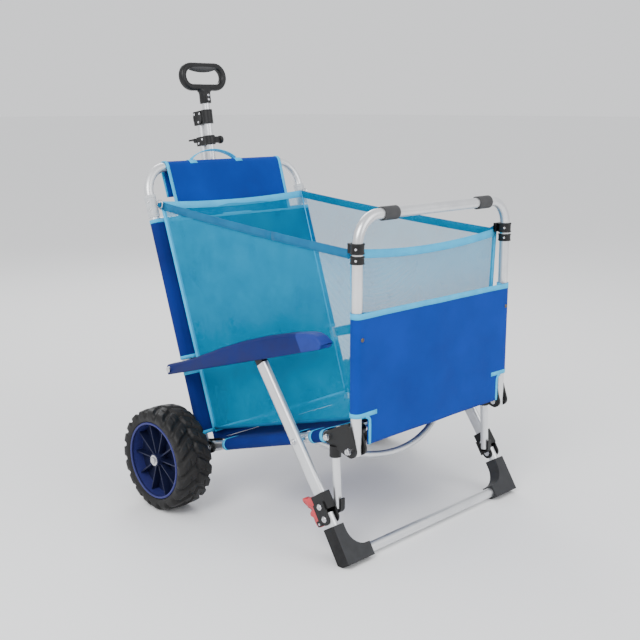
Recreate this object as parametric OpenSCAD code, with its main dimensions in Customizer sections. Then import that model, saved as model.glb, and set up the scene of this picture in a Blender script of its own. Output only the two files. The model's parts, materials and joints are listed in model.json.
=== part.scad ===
// Beach cart that turns into a lounge chair: a folding tube frame with fabric slings,
// a hung mesh basket, two beach wheels and a telescoping pull handle.
// +X is the foot end, +Y the left side, +Z up; Z = 0 is the ground.

/* [Frame] */
// Half the distance between the two side tubes
frame_half = 278; // [250:1:300]
// Outer diameter of the frame tubes
tube_d = 25; // [22:0.5:28]
// Wall of every aluminium tube
tube_wall = 1.6; // [1.2:0.1:2]
// Outer diameter of the cross tubes
cross_d = 19; // [16:0.5:20]
// Thickness of the hinge plates
plate_t = 6; // [4:0.5:8]
// Diameter of the hinge bolts
bolt_d = 8; // [6:0.5:10]

/* [Seat] */
// Height of the rear hinge above the ground
hinge_z = 140; // [130:1:170]
// Horizontal distance from the rear hinge to the front hinge
seat_run = 548; // [520:1:600]
// Slope of the seat rails
seat_slope = 17; // [14:0.5:18]
// How far the front hinge lies below the line of the rails
front_drop = 39; // [34:1:44]
// How far the bowed cross bar hangs below its ends
bow_depth = 101; // [60:1:110]

/* [Back] */
// Lean of the back frame from upright
back_lean = 18.2; // [10:0.1:25]
// Length of the back frame, rear hinge to the top bar
back_length = 768; // [700:1:860]
// Bend radius at the back frame's top corners
back_bend = 75; // [60:1:90]
// Width of the headrest panel
head_w = 420; // [360:1:440]
// Height of the headrest panel below the top bar
head_drop = 150; // [120:1:155]

/* [Leg rest] */
// Height of the leg rest frame, front hinge to the top bar
rest_height = 531; // [480:1:600]
// Bend radius at the leg rest's top corners
rest_bend = 65; // [50:1:80]
// Height of the fabric panel's top edge above the hinge
panel_top = 317; // [280:1:360]

/* [Legs] */
// How far the legs stand outside the middle line of the side tubes
leg_out = 39; // [39:1:52]
// Depth of the flat oval leg tube
leg_depth = 35; // [30:1:36]
// Width of the flat oval leg tube
leg_w = 18; // [16:0.5:20]
// Lean of the legs from upright
leg_lean = 35.1; // [34:0.1:36]
// Lean of the foot frame from upright
foot_lean = 32; // [28:0.5:36]
// Diameter of the foot frame tube
foot_d = 25; // [22:0.5:26]
// Diameter of the link tubes
link_d = 20; // [16:0.5:20]

/* [Armrest] */
// Length of an armrest
arm_length = 601; // [580:1:640]
// Width of an armrest
arm_w = 42; // [38:1:43]
// Slope of the armrest at rest
arm_slope = 16.4; // [12:0.1:20]
// Distance of the armrest bolt along the back frame
arm_at = 223; // [215:1:232]
// Width of the channel under the armrest
channel_w = 27; // [25:0.5:30]

/* [Wheels] */
// Radius of the tyre
wheel_r = 135; // [120:1:140]
// Width of the tyre
wheel_w = 100; // [80:1:120]
// How far the wheel's inner face stands outside the middle line of the side tubes
wheel_out = 62; // [62:1:82]
// Radius of the hub rim
rim_r = 101; // [80:1:108]
// How far the axle lies behind the rear hinge
axle_back = 21; // [21:1:40]
// Diameter of the stub axle
axle_d = 16; // [12:0.5:16]

/* [Handle] */
// Lean of the handle tubes from upright
handle_lean = 8.4; // [6:0.1:10]
// Height of the top of the grip above the ground
handle_top = 1157; // [1120:1:1200]
// Diameter of the sliding stem and of the fixed tube
stem_d = 22; // [18:0.5:24]
// Distance between the stem and the fixed tube behind it
stem_gap = 32; // [30:1:38]
// Angle of the bend low down in the fixed tube
handle_bend = 25; // [20:0.5:27]
// Width of the grip
grip_w = 165; // [120:1:180]
// Height of the grip's loop
grip_h = 80; // [70:1:90]

/* [Basket] */
// Height of the basket's front rim above the ground
basket_front_z = 724; // [680:1:740]
// Height of the basket's rear rim above the ground
basket_rear_z = 781; // [740:1:800]
// Height of the rim webbing
webbing_h = 22; // [15:1:30]

/* [Hidden] */
$fn = 48;

silver = [0.78, 0.79, 0.8];
navy = [0.09, 0.16, 0.38];
royal = [0.12, 0.3, 0.66];
turquoise = [0.25, 0.68, 0.9];
teal = [0.05, 0.45, 0.62];
black = [0.1, 0.1, 0.11];
grey = [0.3, 0.3, 0.32];
red = [0.8, 0.2, 0.24];

gap = 0.3;
running = 0.2;
leg_half = frame_half + leg_out;
wheel_inner = frame_half + wheel_out;
cloth = 2.5;
tube_r = tube_d / 2;
sleeve_in = tube_r + gap;
sleeve_out = sleeve_in + cloth;
far = 2000;
bolt_hole = bolt_d + 2 * running;
head_d = 1.9 * bolt_d;
head_t = 5;
low_head_t = 3;
thin_head_t = 2;
spacer_d = 2 * bolt_d;
tube_tail = 14;

// Distances in X are from the rear hinge; rear_x moves the whole cart to its middle.
// A point along the rails: s along the rail, n above its middle line.
function rail_x(s, n = 0) = s * cos(seat_slope) - n * sin(seat_slope);
function rail_z(s, n = 0) = hinge_z + s * sin(seat_slope) + n * cos(seat_slope);
front_z = hinge_z + seat_run * tan(seat_slope) - front_drop;
// Distances s along the rails, and how far pieces stop short of the front hinge and the rail's end.
rail_start = 25;
hinge_short = 33;
rail_end = (seat_run - hinge_short) / cos(seat_slope);
seat_from = 92;
seat_short = 62;
seat_to = rail_end - seat_short;
notch_s = 406;
notch_len = 44;
notch_in = 22;
rear_cross_s = 76;
rear_bolt_s = 44;
front_bolt_s = rail_end - 40;
front_cross_s = rail_end - 12;
cross_sleeve_in = frame_half - 70;
cross_sleeve_d = cross_d + 6;
bow_s = notch_s - 13;
bow_n = -4;
bow_tilt = 53;
leg_bolt_s = notch_s + 6;
plate_r = 17;
bolt_end_r = 16;
front_end_r = 14;
boss_short = 8;
cap_t = 8;
plate_gap = 0.5;
plate_out = frame_half + tube_r + plate_gap;
plate_in = frame_half - tube_r - plate_gap;
axle_boss_r = norm([axle_back, hinge_z - wheel_r]) - head_d / 2 - gap;

// The legs cross the rails at their bolt and end in the knuckles.
pivot_x = rail_x(leg_bolt_s);
pivot_z = rail_z(leg_bolt_s);
knuckle_z = 127;
knuckle_x = pivot_x + (pivot_z - knuckle_z) * tan(leg_lean);
leg_top_z = 428;
leg_low = -8;
leg_pin_up = (440 - knuckle_z) / cos(leg_lean);
leg_length = (leg_top_z - knuckle_z) / cos(leg_lean);
cap_w = channel_w - 2;

// The foot frame turns on pins just below the knuckles, between two ears.
ear_t = 4;
ear_in = foot_d / 2 + 0.6;
foot_shell_r = 17.5;
pin_drop = 30;
foot_pin_x = knuckle_x + pin_drop * sin(foot_lean);
foot_pin_z = knuckle_z - pin_drop * cos(foot_lean);
foot_up = (foot_pin_z - foot_shell_r) / cos(foot_lean);
foot_bend = 45;
foot_tail = 11;
foot_x = foot_pin_x + foot_up * sin(foot_lean);
shell_top = 77;
shell_in = 73;
shell_fillet = 46;

// The pin of the catch, in the foot frame's own leaning frame.
latch_x = -30;
latch_z = -6;
latch_w = 16;
latch_pin_d = 6;
lug_t = 4;
lug_r = 6;
latch_reach = latch_w / 2 + lug_t + 0.5;

// The link tubes hang inside the legs, and each stands in a hook on its knuckle.
link_half = leg_half - ear_in - ear_t - link_d / 2 - 1;
hook_x = knuckle_x + 15;
hook_z = knuckle_z - 5;
link_top = [seat_run - 54, front_z - 1];
link_bottom = [hook_x, hook_z - 4];
collar_len = 26;
collar_d = link_d + 8;
hook_w = 14;
hook_gap = 1.5;
hook_t = 4.5;

cross_low_t = arm_at + 20;
back_notch_from = arm_at - 18;
back_notch_to = arm_at + 37;
sling_top_t = back_length - head_drop - 8;
sling_low_t = 34;
clamp_t = back_length - 107;
clamp_len = 60;
clamp_r = tube_r + 3;
cross_high_t = clamp_t - clamp_len / 2 - cross_d / 2 - 1;

// The bolt that the armrest turns on goes through the back frame.
arm_x = -arm_at * sin(back_lean);
arm_z = hinge_z + arm_at * cos(back_lean);
arm_back = 15;
arm_half = leg_half;
arm_inner = arm_half - arm_w / 2;

// The handle stands in its own leaning frame; h is the distance up the stem.
handle_base_z = 660;
handle_base_x = -257;
guide_h = 346;
guide_len = 40;
lever_h = 279;
clamp_h = 26;
tube_high_h = guide_h + guide_len / 2 - 2;
bend_h = 10;
bend_r = 120;
flap = 28;
pin_back = stem_gap + 26;
tail_run = 22;
grip_t = 26;
bar_h = (handle_top - handle_base_z) / cos(handle_lean) - grip_t / 2 * tan(handle_lean);
neck_h = bar_h - grip_h - 36;
neck_len = 40;
stem_top_h = neck_h + neck_len - 6;

x_low = handle_base_x - lever_h * sin(handle_lean) - pin_back - flap;
x_high = foot_x + foot_shell_r + 5;
rear_x = -(x_low + x_high) / 2;

// Basket corners: the floor follows the seat, the rear wall the back and the front wall the leg rest.
skin = 3;
floor_n = sleeve_out + 3.5;
floor_half = frame_half - 24;
basket_rear_half = frame_half - 18;
basket_front_half = frame_half - 6;
rear_n = sleeve_out + 9;
basket_front_x = seat_run - 26;

// Pieces stand at the rear hinge and move to the middle of the cart together.
module placed() {
    translate([rear_x, 0, 0])
        children();
}

// s is +1 for the left piece and -1 for its mirror image on the right.
module side(s) {
    placed()
        mirror([0, s > 0 ? 0 : 1, 0])
            children();
}

module seat_frame() {
    translate([0, 0, hinge_z])
        rotate([0, 90 - seat_slope, 0])
            children();
}

module back_place() {
    placed()
        translate([0, 0, hinge_z])
            rotate([0, -back_lean, 0])
                children();
}

module rest_place() {
    placed()
        translate([seat_run, 0, front_z])
            children();
}

module leg_place() {
    translate([knuckle_x, leg_half, knuckle_z])
        rotate([0, -leg_lean, 0])
            children();
}

module foot_place() {
    translate([foot_pin_x, 0, foot_pin_z])
        rotate([0, -foot_lean, 0])
            children();
}

module handle_place() {
    placed()
        translate([handle_base_x, 0, handle_base_z])
            rotate([0, -handle_lean, 0])
                children();
}

// A shape drawn in X and Z, w thick along Y from y.
module slab(y, w) {
    translate([0, y + w, 0])
        rotate([90, 0, 0])
            linear_extrude(w)
                children();
}

// A round bar along Y from y0 to y1.
module bar_y(x, z, y0, y1, d) {
    translate([x, y1, z])
        rotate([90, 0, 0])
            cylinder(d = d, h = y1 - y0);
}

module ring(d, wall) {
    difference() {
        circle(d = d);
        circle(d = d - 2 * wall);
    }
}

module tube(d, length, wall = tube_wall) {
    linear_extrude(length)
        ring(d, wall);
}

// A tube from p to q, two points in X and Z.
module strut(p, q, y, d) {
    translate([p.x, y, p.y])
        rotate([0, atan2(q.x - p.x, q.y - p.y), 0])
            tube(d, norm(q - p));
}

// A straight tube from one side to the other.
module cross_tube(x, z, half, d) {
    translate([x, half, z])
        rotate([90, 0, 0])
            tube(d, 2 * half);
}

// An upside-down U of tube in the YZ plane, its feet at z = low.
module arch(half, height, radius, d, low) {
    for (m = [0, 1]) mirror([0, m, 0]) {
        translate([0, half, low])
            tube(d, height - radius - low);
        translate([0, half - radius, height - radius])
            rotate([90, 0, 90])
                rotate_extrude(angle = 90)
                    translate([radius, 0])
                        ring(d, tube_wall);
    }
    translate([0, half - radius, height])
        rotate([90, 0, 0])
            tube(d, 2 * (half - radius));
}

// A round sleeve along the local Z, from low to high.
module sleeve(r_in, r_out, low, high) {
    translate([0, 0, low])
        linear_extrude(high - low)
            difference() {
                circle(r = r_out);
                circle(r = r_in);
            }
}

// The flat oval section of a leg tube, shrunk by wall on every side.
module oval(wall = 0) {
    flat = leg_depth - leg_w;
    square([flat, leg_w - 2 * wall], center = true);
    for (x = [-flat / 2, flat / 2])
        translate([x, 0])
            circle(d = leg_w - 2 * wall);
}

// ---- Seat and chassis ----

module seat_rail(s) {
    color(silver)
        side(s)
            difference() {
                translate([0, frame_half, 0])
                    seat_frame()
                        translate([0, 0, rail_start])
                            tube(tube_d, rail_end - rail_start);
                for (at = [rear_bolt_s, leg_bolt_s, front_bolt_s])
                    bar_y(rail_x(at), rail_z(at), frame_half - tube_d, frame_half + tube_d, bolt_hole);
            }
}

module rear_cross_tube() {
    color(silver)
        placed()
            cross_tube(rail_x(rear_cross_s), rail_z(rear_cross_s), frame_half - tube_r, cross_d);
}

module front_cross_tube() {
    color(silver)
        placed()
            cross_tube(rail_x(front_cross_s), rail_z(front_cross_s), plate_in - plate_t, cross_d);
}

// One arc of tube that hangs forward and down between the two rails.
module bowed_cross_bar() {
    end_gap = 7;
    half = frame_half - tube_r - end_gap;
    bow_d = cross_d - 2;
    bow_r = (half * half + bow_depth * bow_depth) / (2 * bow_depth);
    reach = asin(half / bow_r);
    color(silver)
        placed()
            translate([rail_x(bow_s, bow_n), 0, rail_z(bow_s, bow_n)])
                rotate([0, bow_tilt, 0])
                    translate([bow_depth - bow_r, 0, 0])
                        rotate([0, 0, -reach])
                            rotate_extrude(angle = 2 * reach)
                                translate([bow_r, 0])
                                    ring(bow_d, tube_wall);
}

// The seat sling: a sleeve round each rail and one panel across their tops.
module seat_sling() {
    color(navy)
        placed()
            seat_frame()
                difference() {
                    union() {
                        for (m = [0, 1]) mirror([0, m, 0])
                            translate([0, frame_half, 0])
                                sleeve(sleeve_in, sleeve_out, seat_from, seat_to);
                        translate([-sleeve_out, -frame_half, seat_from])
                            cube([cloth, 2 * frame_half, seat_to - seat_from]);
                    }
                    for (m = [0, 1]) mirror([0, m, 0])
                        translate([-tube_d, frame_half - notch_in, notch_s - notch_len / 2])
                            cube([2 * tube_d, 2 * tube_d, notch_len]);
                }
}

// The hinge plates that hold the rail, the back frame and the stub axle together.
module rear_plate() {
    hull() {
        translate([rail_x(rear_bolt_s), rail_z(rear_bolt_s)])
            circle(r = bolt_end_r);
        translate([0, hinge_z])
            circle(r = plate_r);
        translate([-axle_back, wheel_r])
            circle(r = plate_r);
    }
}

module rear_bracket(s) {
    color(black)
        side(s)
            difference() {
                union() {
                    slab(plate_out, plate_t)
                        rear_plate();
                    slab(plate_in - plate_t, plate_t)
                        rear_plate();
                    bar_y(-axle_back, wheel_r, plate_out, wheel_inner - boss_short, 2 * axle_boss_r);
                }
                bar_y(0, hinge_z, 0, far, bolt_hole);
                bar_y(rail_x(rear_bolt_s), rail_z(rear_bolt_s), 0, far, bolt_hole);
                bar_y(-axle_back, wheel_r, plate_out - 1, far, axle_d);
            }
}

module axle(s) {
    color(silver)
        side(s)
            bar_y(-axle_back, wheel_r, plate_out, wheel_inner + wheel_w - cap_t, axle_d);
}

// Bolt with a round head at each end, along Y.
module bolt(x, z, y0, y1, head = head_t) {
    bar_y(x, z, y0, y1, bolt_d);
    bar_y(x, z, y1, y1 + head, head_d);
    bar_y(x, z, y0 - head, y0, head_d);
}

module recline_bolts() {
    color(silver)
        for (s = [-1, 1]) side(s) {
            bolt(0, hinge_z, plate_in - plate_t, plate_out + plate_t);
            bolt(rail_x(rear_bolt_s), rail_z(rear_bolt_s), plate_in - plate_t, plate_out + plate_t, low_head_t);
        }
}

module front_plate() {
    collar_back = 14;
    plate_rise = 44;
    hull() {
        translate([rail_x(front_bolt_s), rail_z(front_bolt_s)])
            circle(r = front_end_r);
        translate([seat_run, front_z])
            circle(r = plate_r);
        translate([seat_run - collar_back, front_z + plate_rise])
            circle(r = bolt_end_r);
    }
}

module front_bracket(s) {
    color(black)
        side(s)
            difference() {
                union() {
                    slab(plate_out, plate_t)
                        front_plate();
                    slab(plate_in - plate_t, plate_t)
                        front_plate();
                    bar_y(
                        rail_x(front_cross_s), rail_z(front_cross_s),
                        cross_sleeve_in, plate_in - plate_t, cross_sleeve_d
                    );
                }
                bar_y(seat_run, front_z, 0, far, bolt_hole);
                bar_y(rail_x(front_bolt_s), rail_z(front_bolt_s), plate_in - plate_t - 1, far, bolt_hole);
                bar_y(rail_x(front_cross_s), rail_z(front_cross_s), 0, plate_in - plate_t, cross_d);
                translate([link_top.x, link_half, link_top.y - collar_len])
                    cylinder(d = collar_d, h = collar_len + 1);
            }
}

module bracket_bolts() {
    color(silver)
        for (s = [-1, 1]) side(s) {
            bolt(seat_run, front_z, plate_in - plate_t, plate_out + plate_t);
            bolt(rail_x(front_bolt_s), rail_z(front_bolt_s), plate_in - plate_t, plate_out + plate_t, low_head_t);
        }
}

// ---- Legs ----

module leg_tube(s) {
    color(silver)
        side(s)
            difference() {
                leg_place()
                    translate([0, 0, leg_low])
                        linear_extrude(leg_length - leg_low)
                            difference() {
                                oval();
                                oval(tube_wall);
                            }
                bar_y(pivot_x, pivot_z, 0, far, bolt_hole);
                bar_y(knuckle_x, knuckle_z, 0, far, bolt_hole);
            }
}

// The bolt that each leg crosses its rail on, with the spacer between them.
module leg_bolts() {
    color(silver)
        for (s = [-1, 1]) side(s) {
            bolt(pivot_x, pivot_z, frame_half - tube_r, leg_half + leg_w / 2);
            difference() {
                bar_y(pivot_x, pivot_z, frame_half + tube_r, leg_half - leg_w / 2, spacer_d);
                bar_y(pivot_x, pivot_z, 0, far, bolt_d);
            }
        }
}

// The plug in the leg's top end, with the pin that slides under the armrest.
module leg_cap(s) {
    cap_top = leg_pin_up + bolt_d / 2 + 5;
    cap_half = 12;
    color(black)
        side(s)
            leg_place() {
                translate([0, 0, leg_length])
                    slab(-leg_w / 2, leg_w)
                        translate([-cap_half, 0])
                            square([2 * cap_half, cap_top - leg_length]);
                translate([0, cap_w / 2, leg_pin_up])
                    rotate([90, 0, 0])
                        cylinder(d = bolt_d, h = cap_w);
            }
}

module link(s) {
    color(silver)
        side(s)
            strut(link_bottom, link_top, link_half, link_d);
}

// The collar round each link's top end, seated in the hinge bracket.
module link_collars() {
    color(black)
        for (s = [-1, 1]) side(s)
            difference() {
                translate([link_top.x, link_half, link_top.y - collar_len])
                    cylinder(d = collar_d, h = collar_len + 1);
                translate([link_bottom.x, link_half, link_bottom.y])
                    rotate([0, atan2(link_top.x - link_bottom.x, link_top.y - link_bottom.y), 0])
                        cylinder(d = link_d, h = norm(link_top - link_bottom));
            }
}

// The hook on the knuckle that the link's foot stands in.
module link_hook() {
    toe_h = 22;
    heel_h = 6;
    hook_in = link_d / 2 + hook_gap;
    hook_out = hook_in + hook_t;
    boss_w = hook_w - 6;
    slab(link_half - hook_w / 2, hook_w) {
        translate([hook_x, hook_z])
            difference() {
                circle(r = hook_out);
                circle(r = hook_in);
                translate([-far / 2, 0])
                    square([far, far]);
            }
        translate([hook_x + hook_in, hook_z])
            square([hook_t, toe_h]);
        translate([hook_x - hook_out, hook_z])
            square([hook_t, heel_h]);
    }
    slab(link_half - hook_w / 2, leg_half - ear_in - ear_t - link_half + hook_w / 2)
        translate([hook_x - boss_w, hook_z - hook_out - 2])
            square([hook_w, hook_t + 2]);
}

// The knuckle: a socket for the leg, two ears for the foot frame's pin and a wall behind them.
module knuckle(s) {
    wall = 3;
    socket_h = 40;
    ear_r = 15;
    ear_back = 22;
    ear_over = 9;
    color(black)
        side(s) {
            difference() {
                union() {
                    leg_place()
                        slab(-ear_in, 2 * ear_in)
                            translate([-leg_depth / 2 - wall, leg_low - wall])
                                square([leg_depth + 2 * wall, socket_h]);
                    foot_place() {
                        for (y = [leg_half - ear_in - ear_t, leg_half + ear_in])
                            slab(y, ear_t) {
                                circle(r = ear_r);
                                translate([-ear_back, 0])
                                    square([ear_back + ear_r, pin_drop + ear_over]);
                            }
                        slab(leg_half - ear_in, 2 * ear_in)
                            translate([-ear_back, 0])
                                square([wall, pin_drop]);
                        if (s < 0)
                            for (y = [leg_half - latch_reach, leg_half + latch_w / 2 + 0.5])
                                slab(y, lug_t)
                                    translate([latch_x - lug_r, latch_z - lug_r])
                                        square([16, 14]);
                    }
                }
                leg_place()
                    translate([0, 0, leg_low])
                        linear_extrude(far)
                            oval(-0.1);
                bar_y(knuckle_x, knuckle_z, 0, far, bolt_d);
                bar_y(foot_pin_x, foot_pin_z, 0, far, bolt_d);
                foot_place()
                    bar_y(latch_x, latch_z, 0, far, latch_pin_d);
            }
            difference() {
                link_hook();
                bar_y(foot_pin_x, foot_pin_z, 0, leg_half - ear_in - ear_t, head_d + 2 * gap);
            }
        }
}

module knuckle_pins() {
    reach = ear_in + ear_t;
    color(silver)
        for (s = [-1, 1]) side(s) {
            bolt(knuckle_x, knuckle_z, leg_half - reach, leg_half + reach, thin_head_t);
            bolt(foot_pin_x, foot_pin_z, leg_half - reach, leg_half + reach, thin_head_t);
        }
    color(silver)
        side(-1)
            foot_place()
                bar_y(latch_x, latch_z, leg_half - latch_reach, leg_half + latch_reach, latch_pin_d);
}

// The foot frame: a U of tube whose bar lies on the ground.
module foot_tube() {
    color(silver)
        placed()
            difference() {
                foot_place()
                    rotate([180, 0, 0])
                        arch(leg_half, foot_up, foot_bend, foot_d, -foot_tail);
                bar_y(foot_pin_x, foot_pin_z, -far, far, bolt_hole);
            }
}

// A moulded corner shell over each bend, flat where it stands on the ground.
module foot(s) {
    r = foot_shell_r;
    color(grey)
        side(s)
            difference() {
                foot_place()
                    translate([0, leg_half, -foot_up])
                        rotate([90, 0, 90])
                            linear_extrude(2 * r, center = true)
                                difference() {
                                    union() {
                                        translate([-r, -r])
                                            square([2 * r, shell_top + r]);
                                        translate([-shell_in, -r])
                                            square([shell_in, 2 * r - 2]);
                                        translate([-r - shell_fillet, r - 3])
                                            square([shell_fillet + 1, shell_fillet + 1]);
                                    }
                                    translate([-r - shell_fillet, r - 2 + shell_fillet])
                                        circle(r = shell_fillet);
                                }
                foot_place()
                    rotate([180, 0, 0])
                        mirror([0, 1, 0])
                            solid_corner();
                translate([-far, -far, -2 * far])
                    cube([2 * far, 2 * far, 2 * far]);
            }
}

// The space that the foot frame's tube takes inside a corner shell.
module solid_corner() {
    d = foot_d + 0.2;
    translate([0, leg_half, 0])
        cylinder(d = d, h = foot_up - foot_bend);
    translate([0, leg_half - foot_bend, foot_up - foot_bend])
        rotate([90, 0, 90])
            rotate_extrude(angle = 90)
                translate([foot_bend, 0])
                    circle(d = d);
    translate([0, leg_half - foot_bend, foot_up])
        rotate([90, 0, 0])
            cylinder(d = d, h = shell_in);
}

// The red catch behind the right knuckle: a finger pad above and a pivot eye below.
module latch_lever() {
    eye_r = 8;
    arm_t = 11;
    arm_h = 62;
    pad = [17, 18];
    nub = [12, 8];
    color(red)
        side(-1)
            foot_place()
                difference() {
                    slab(leg_half - latch_w / 2, latch_w)
                        translate([latch_x, latch_z]) {
                            circle(r = eye_r);
                            translate([-arm_t / 2, 0])
                                square([arm_t, arm_h]);
                            translate([-pad.x, arm_h - pad.y])
                                square(pad);
                            translate([-nub.x, arm_h - pad.y - nub.y - 10])
                                square(nub);
                        }
                    bar_y(latch_x, latch_z, 0, far, latch_pin_d + 2 * running);
                }
}

// ---- Wheels ----

module wheel_place(s) {
    side(s)
        translate([-axle_back, wheel_inner, wheel_r])
            rotate([-90, 0, 0])
                children();
}

module tyre(s) {
    crown = 30;
    shoulder = 18;
    round = 6;
    bead = 4;
    wall = 14;
    color(black)
        wheel_place(s)
            rotate_extrude($fn = 96)
                difference() {
                    polygon([
                        [rim_r + gap / 3, bead],
                        [wheel_r - crown, 0],
                        [wheel_r - round, shoulder / 2],
                        [wheel_r, shoulder],
                        [wheel_r, wheel_w - shoulder],
                        [wheel_r - round, wheel_w - shoulder / 2],
                        [wheel_r - crown, wheel_w],
                        [rim_r + gap / 3, wheel_w - bead]
                    ]);
                    translate([rim_r - 1, wall + 2])
                        square([wheel_r - rim_r - wall, wheel_w - 2 * wall - 4]);
                }
}

// The hub: a rim, a dish and ten thin ribs round the bearing boss.
module hub(s) {
    rim_t = 5;
    rim_in = 5;
    boss_r = 17;
    dish_y = 56;
    dish_t = 5;
    ribs = 10;
    rib_t = 3;
    rib_h = 25;
    inner_r = rim_r - rim_t;
    color(navy)
        wheel_place(s)
            difference() {
                union() {
                    rotate_extrude($fn = 96) {
                        translate([inner_r, rim_in])
                            square([rim_t, wheel_w - 2 * rim_in]);
                        translate([boss_r - 1, dish_y])
                            square([inner_r - boss_r + 2, dish_t]);
                        translate([axle_d / 2 - 2, 1])
                            square([boss_r - axle_d / 2 + 2, wheel_w - cap_t - 1]);
                    }
                    for (a = [0:360 / ribs:359])
                        rotate([0, 0, a])
                            translate([boss_r - 2, -rib_t / 2, dish_y + 1])
                                cube([inner_r - boss_r + 4, rib_t, rib_h]);
                }
                translate([0, 0, -1])
                    cylinder(d = axle_d + 0.1, h = wheel_w + 2);
            }
}

module axle_cap(s) {
    cap_d = axle_d + 12;
    recess = 3;
    color(silver)
        wheel_place(s)
            translate([0, 0, wheel_w - cap_t])
                difference() {
                    cylinder(d = cap_d, h = cap_t);
                    translate([0, 0, -1])
                        cylinder(d = axle_d + 1, h = recess + 1);
                }
}

// ---- Back frame ----

module back_tube() {
    color(silver)
        back_place()
            difference() {
                arch(frame_half, back_length, back_bend, tube_d, -tube_tail);
                bar_y(0, 0, -far, far, bolt_hole);
                for (m = [0, 1]) mirror([0, m, 0])
                    bar_y(0, arm_at, frame_half - tube_d, far, bolt_d);
            }
}

module back_cross_tubes() {
    color(silver)
        back_place()
            for (t = [cross_low_t, cross_high_t])
                cross_tube(0, t, frame_half - tube_r, cross_d);
}

// The back sling: a sleeve round each upright, open at the armrest bolt, and a panel in front.
module back_sling() {
    color(navy)
        back_place()
            difference() {
                union() {
                    for (m = [0, 1]) mirror([0, m, 0])
                        translate([0, frame_half, 0])
                            sleeve(sleeve_in, sleeve_out, sling_low_t, sling_top_t);
                    translate([sleeve_in, -frame_half, sling_low_t])
                        cube([cloth, 2 * frame_half, sling_top_t - sling_low_t]);
                }
                for (m = [0, 1]) mirror([0, m, 0])
                    translate([-tube_d, frame_half - notch_in, back_notch_from])
                        cube([2 * tube_d, 2 * tube_d, back_notch_to - back_notch_from]);
            }
}

// The headrest panel folds over the top bar: a long flap in front and a short one behind.
module headrest() {
    rear_drop = 84;
    color(royal)
        back_place()
            translate([0, head_w / 2, back_length])
                rotate([90, 0, 0])
                    linear_extrude(head_w) {
                        difference() {
                            circle(r = sleeve_out);
                            circle(r = sleeve_in);
                            translate([-tube_d, -tube_d])
                                square([2 * tube_d, tube_d]);
                        }
                        translate([sleeve_in, -head_drop])
                            square([cloth, head_drop]);
                        translate([-sleeve_out, -rear_drop])
                            square([cloth, rear_drop]);
                    }
}

// The carry strap: a flat loop of webbing that arches over the headrest.
module carry_strap() {
    strap_w = 20;
    rise = 26;
    half = 81;
    mid = -33;
    arc_r = (half * half + rise * rise) / (2 * rise);
    reach = asin(half / arc_r);
    color(turquoise)
        back_place()
            translate([-strap_w / 2, mid, back_length + sleeve_out + gap + rise - arc_r + cloth])
                rotate([90, 0, 90])
                    rotate([0, 0, 90 - reach])
                        rotate_extrude(angle = 2 * reach)
                            translate([arc_r - cloth, 0])
                                square([cloth, strap_w]);
}

module back_clamps() {
    color(grey)
        back_place()
            for (m = [0, 1]) mirror([0, m, 0])
                translate([0, frame_half, 0])
                    sleeve(tube_r, clamp_r, clamp_t - clamp_len / 2, clamp_t + clamp_len / 2);
}

// A wire loop on each clamp that the basket's rear strap hooks into.
module strap_loops() {
    wire = 3.5;
    loop_r = 11;
    color(silver)
        back_place()
            for (m = [0, 1]) mirror([0, m, 0])
                translate([clamp_r + loop_r + wire / 2 - 1.5, frame_half - 8, clamp_t])
                    rotate([90, 0, 0])
                        rotate_extrude()
                            translate([loop_r, 0])
                                circle(d = wire, $fn = 24);
}

// ---- Armrests ----

// Side outline in X and Z from the bolt: flat below, crowned above, rounded at the front.
module arm_outline() {
    low = -14;
    front = arm_length - arm_back;
    polygon([
        [-arm_back, low],
        [front - 6, low],
        [front, low + 10],
        [front - 4, 8],
        [front - 18, 19],
        [front - 50, 29],
        [front - 110, 35],
        [front - 190, 38],
        [front - 270, 37],
        [front - 350, 32],
        [front - 420, 24],
        [front - 490, 16],
        [front - 540, 14],
        [-arm_back, 14]
    ]);
}

module armrest(s) {
    front = arm_length - arm_back;
    slot_from = 318;
    color(navy)
        side(s)
            translate([arm_x, 0, arm_z])
                rotate([0, -arm_slope, 0])
                    difference() {
                        slab(arm_inner, arm_w)
                            arm_outline();
                        slab(arm_half - channel_w / 2, channel_w)
                            translate([slot_from, -15])
                                square([front - 28 - slot_from, 31]);
                        bar_y(0, 0, 0, far, bolt_hole);
                    }
}

module armrest_bolts() {
    color(silver)
        back_place()
            for (m = [0, 1]) mirror([0, m, 0]) {
                bolt(0, arm_at, frame_half - tube_r, arm_half + arm_w / 2 + 0.5);
                difference() {
                    bar_y(0, arm_at, frame_half + tube_r, arm_inner - gap, spacer_d);
                    bar_y(0, arm_at, 0, far, bolt_d);
                }
            }
}

// ---- Handle ----

// A back frame point t along the tubes, seen from the handle's own frame.
function to_handle(t) =
    let(x = -t * sin(back_lean) - handle_base_x, z = hinge_z + t * cos(back_lean) - handle_base_z)
    [x * cos(handle_lean) + z * sin(handle_lean), z * cos(handle_lean) - x * sin(handle_lean)];

// Where the fixed tube's bend ends, and the way it runs on from there.
bend_end = [bend_r - stem_gap - bend_r * cos(handle_bend), bend_h - bend_r * sin(handle_bend)];
low_way = [sin(handle_bend), -cos(handle_bend)];
low_run = (to_handle(cross_low_t) - bend_end) * low_way;
low_seat = bend_end + low_run * low_way;

module low_place() {
    translate([bend_end.x, 0, bend_end.y])
        rotate([0, 180 - handle_bend, 0])
            children();
}

// The fixed tube's route as a solid bar, longer by past at both ends.
module handle_route(d, past = 0) {
    translate([-stem_gap, 0, bend_h])
        cylinder(d = d, h = tube_high_h - bend_h + past);
    translate([bend_r - stem_gap, 0, bend_h])
        rotate([90, 0, 0])
            rotate([0, 0, 180])
                rotate_extrude(angle = handle_bend)
                    translate([bend_r, 0])
                        circle(d = d);
    low_place()
        cylinder(d = d, h = low_run + tail_run + past);
}

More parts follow.
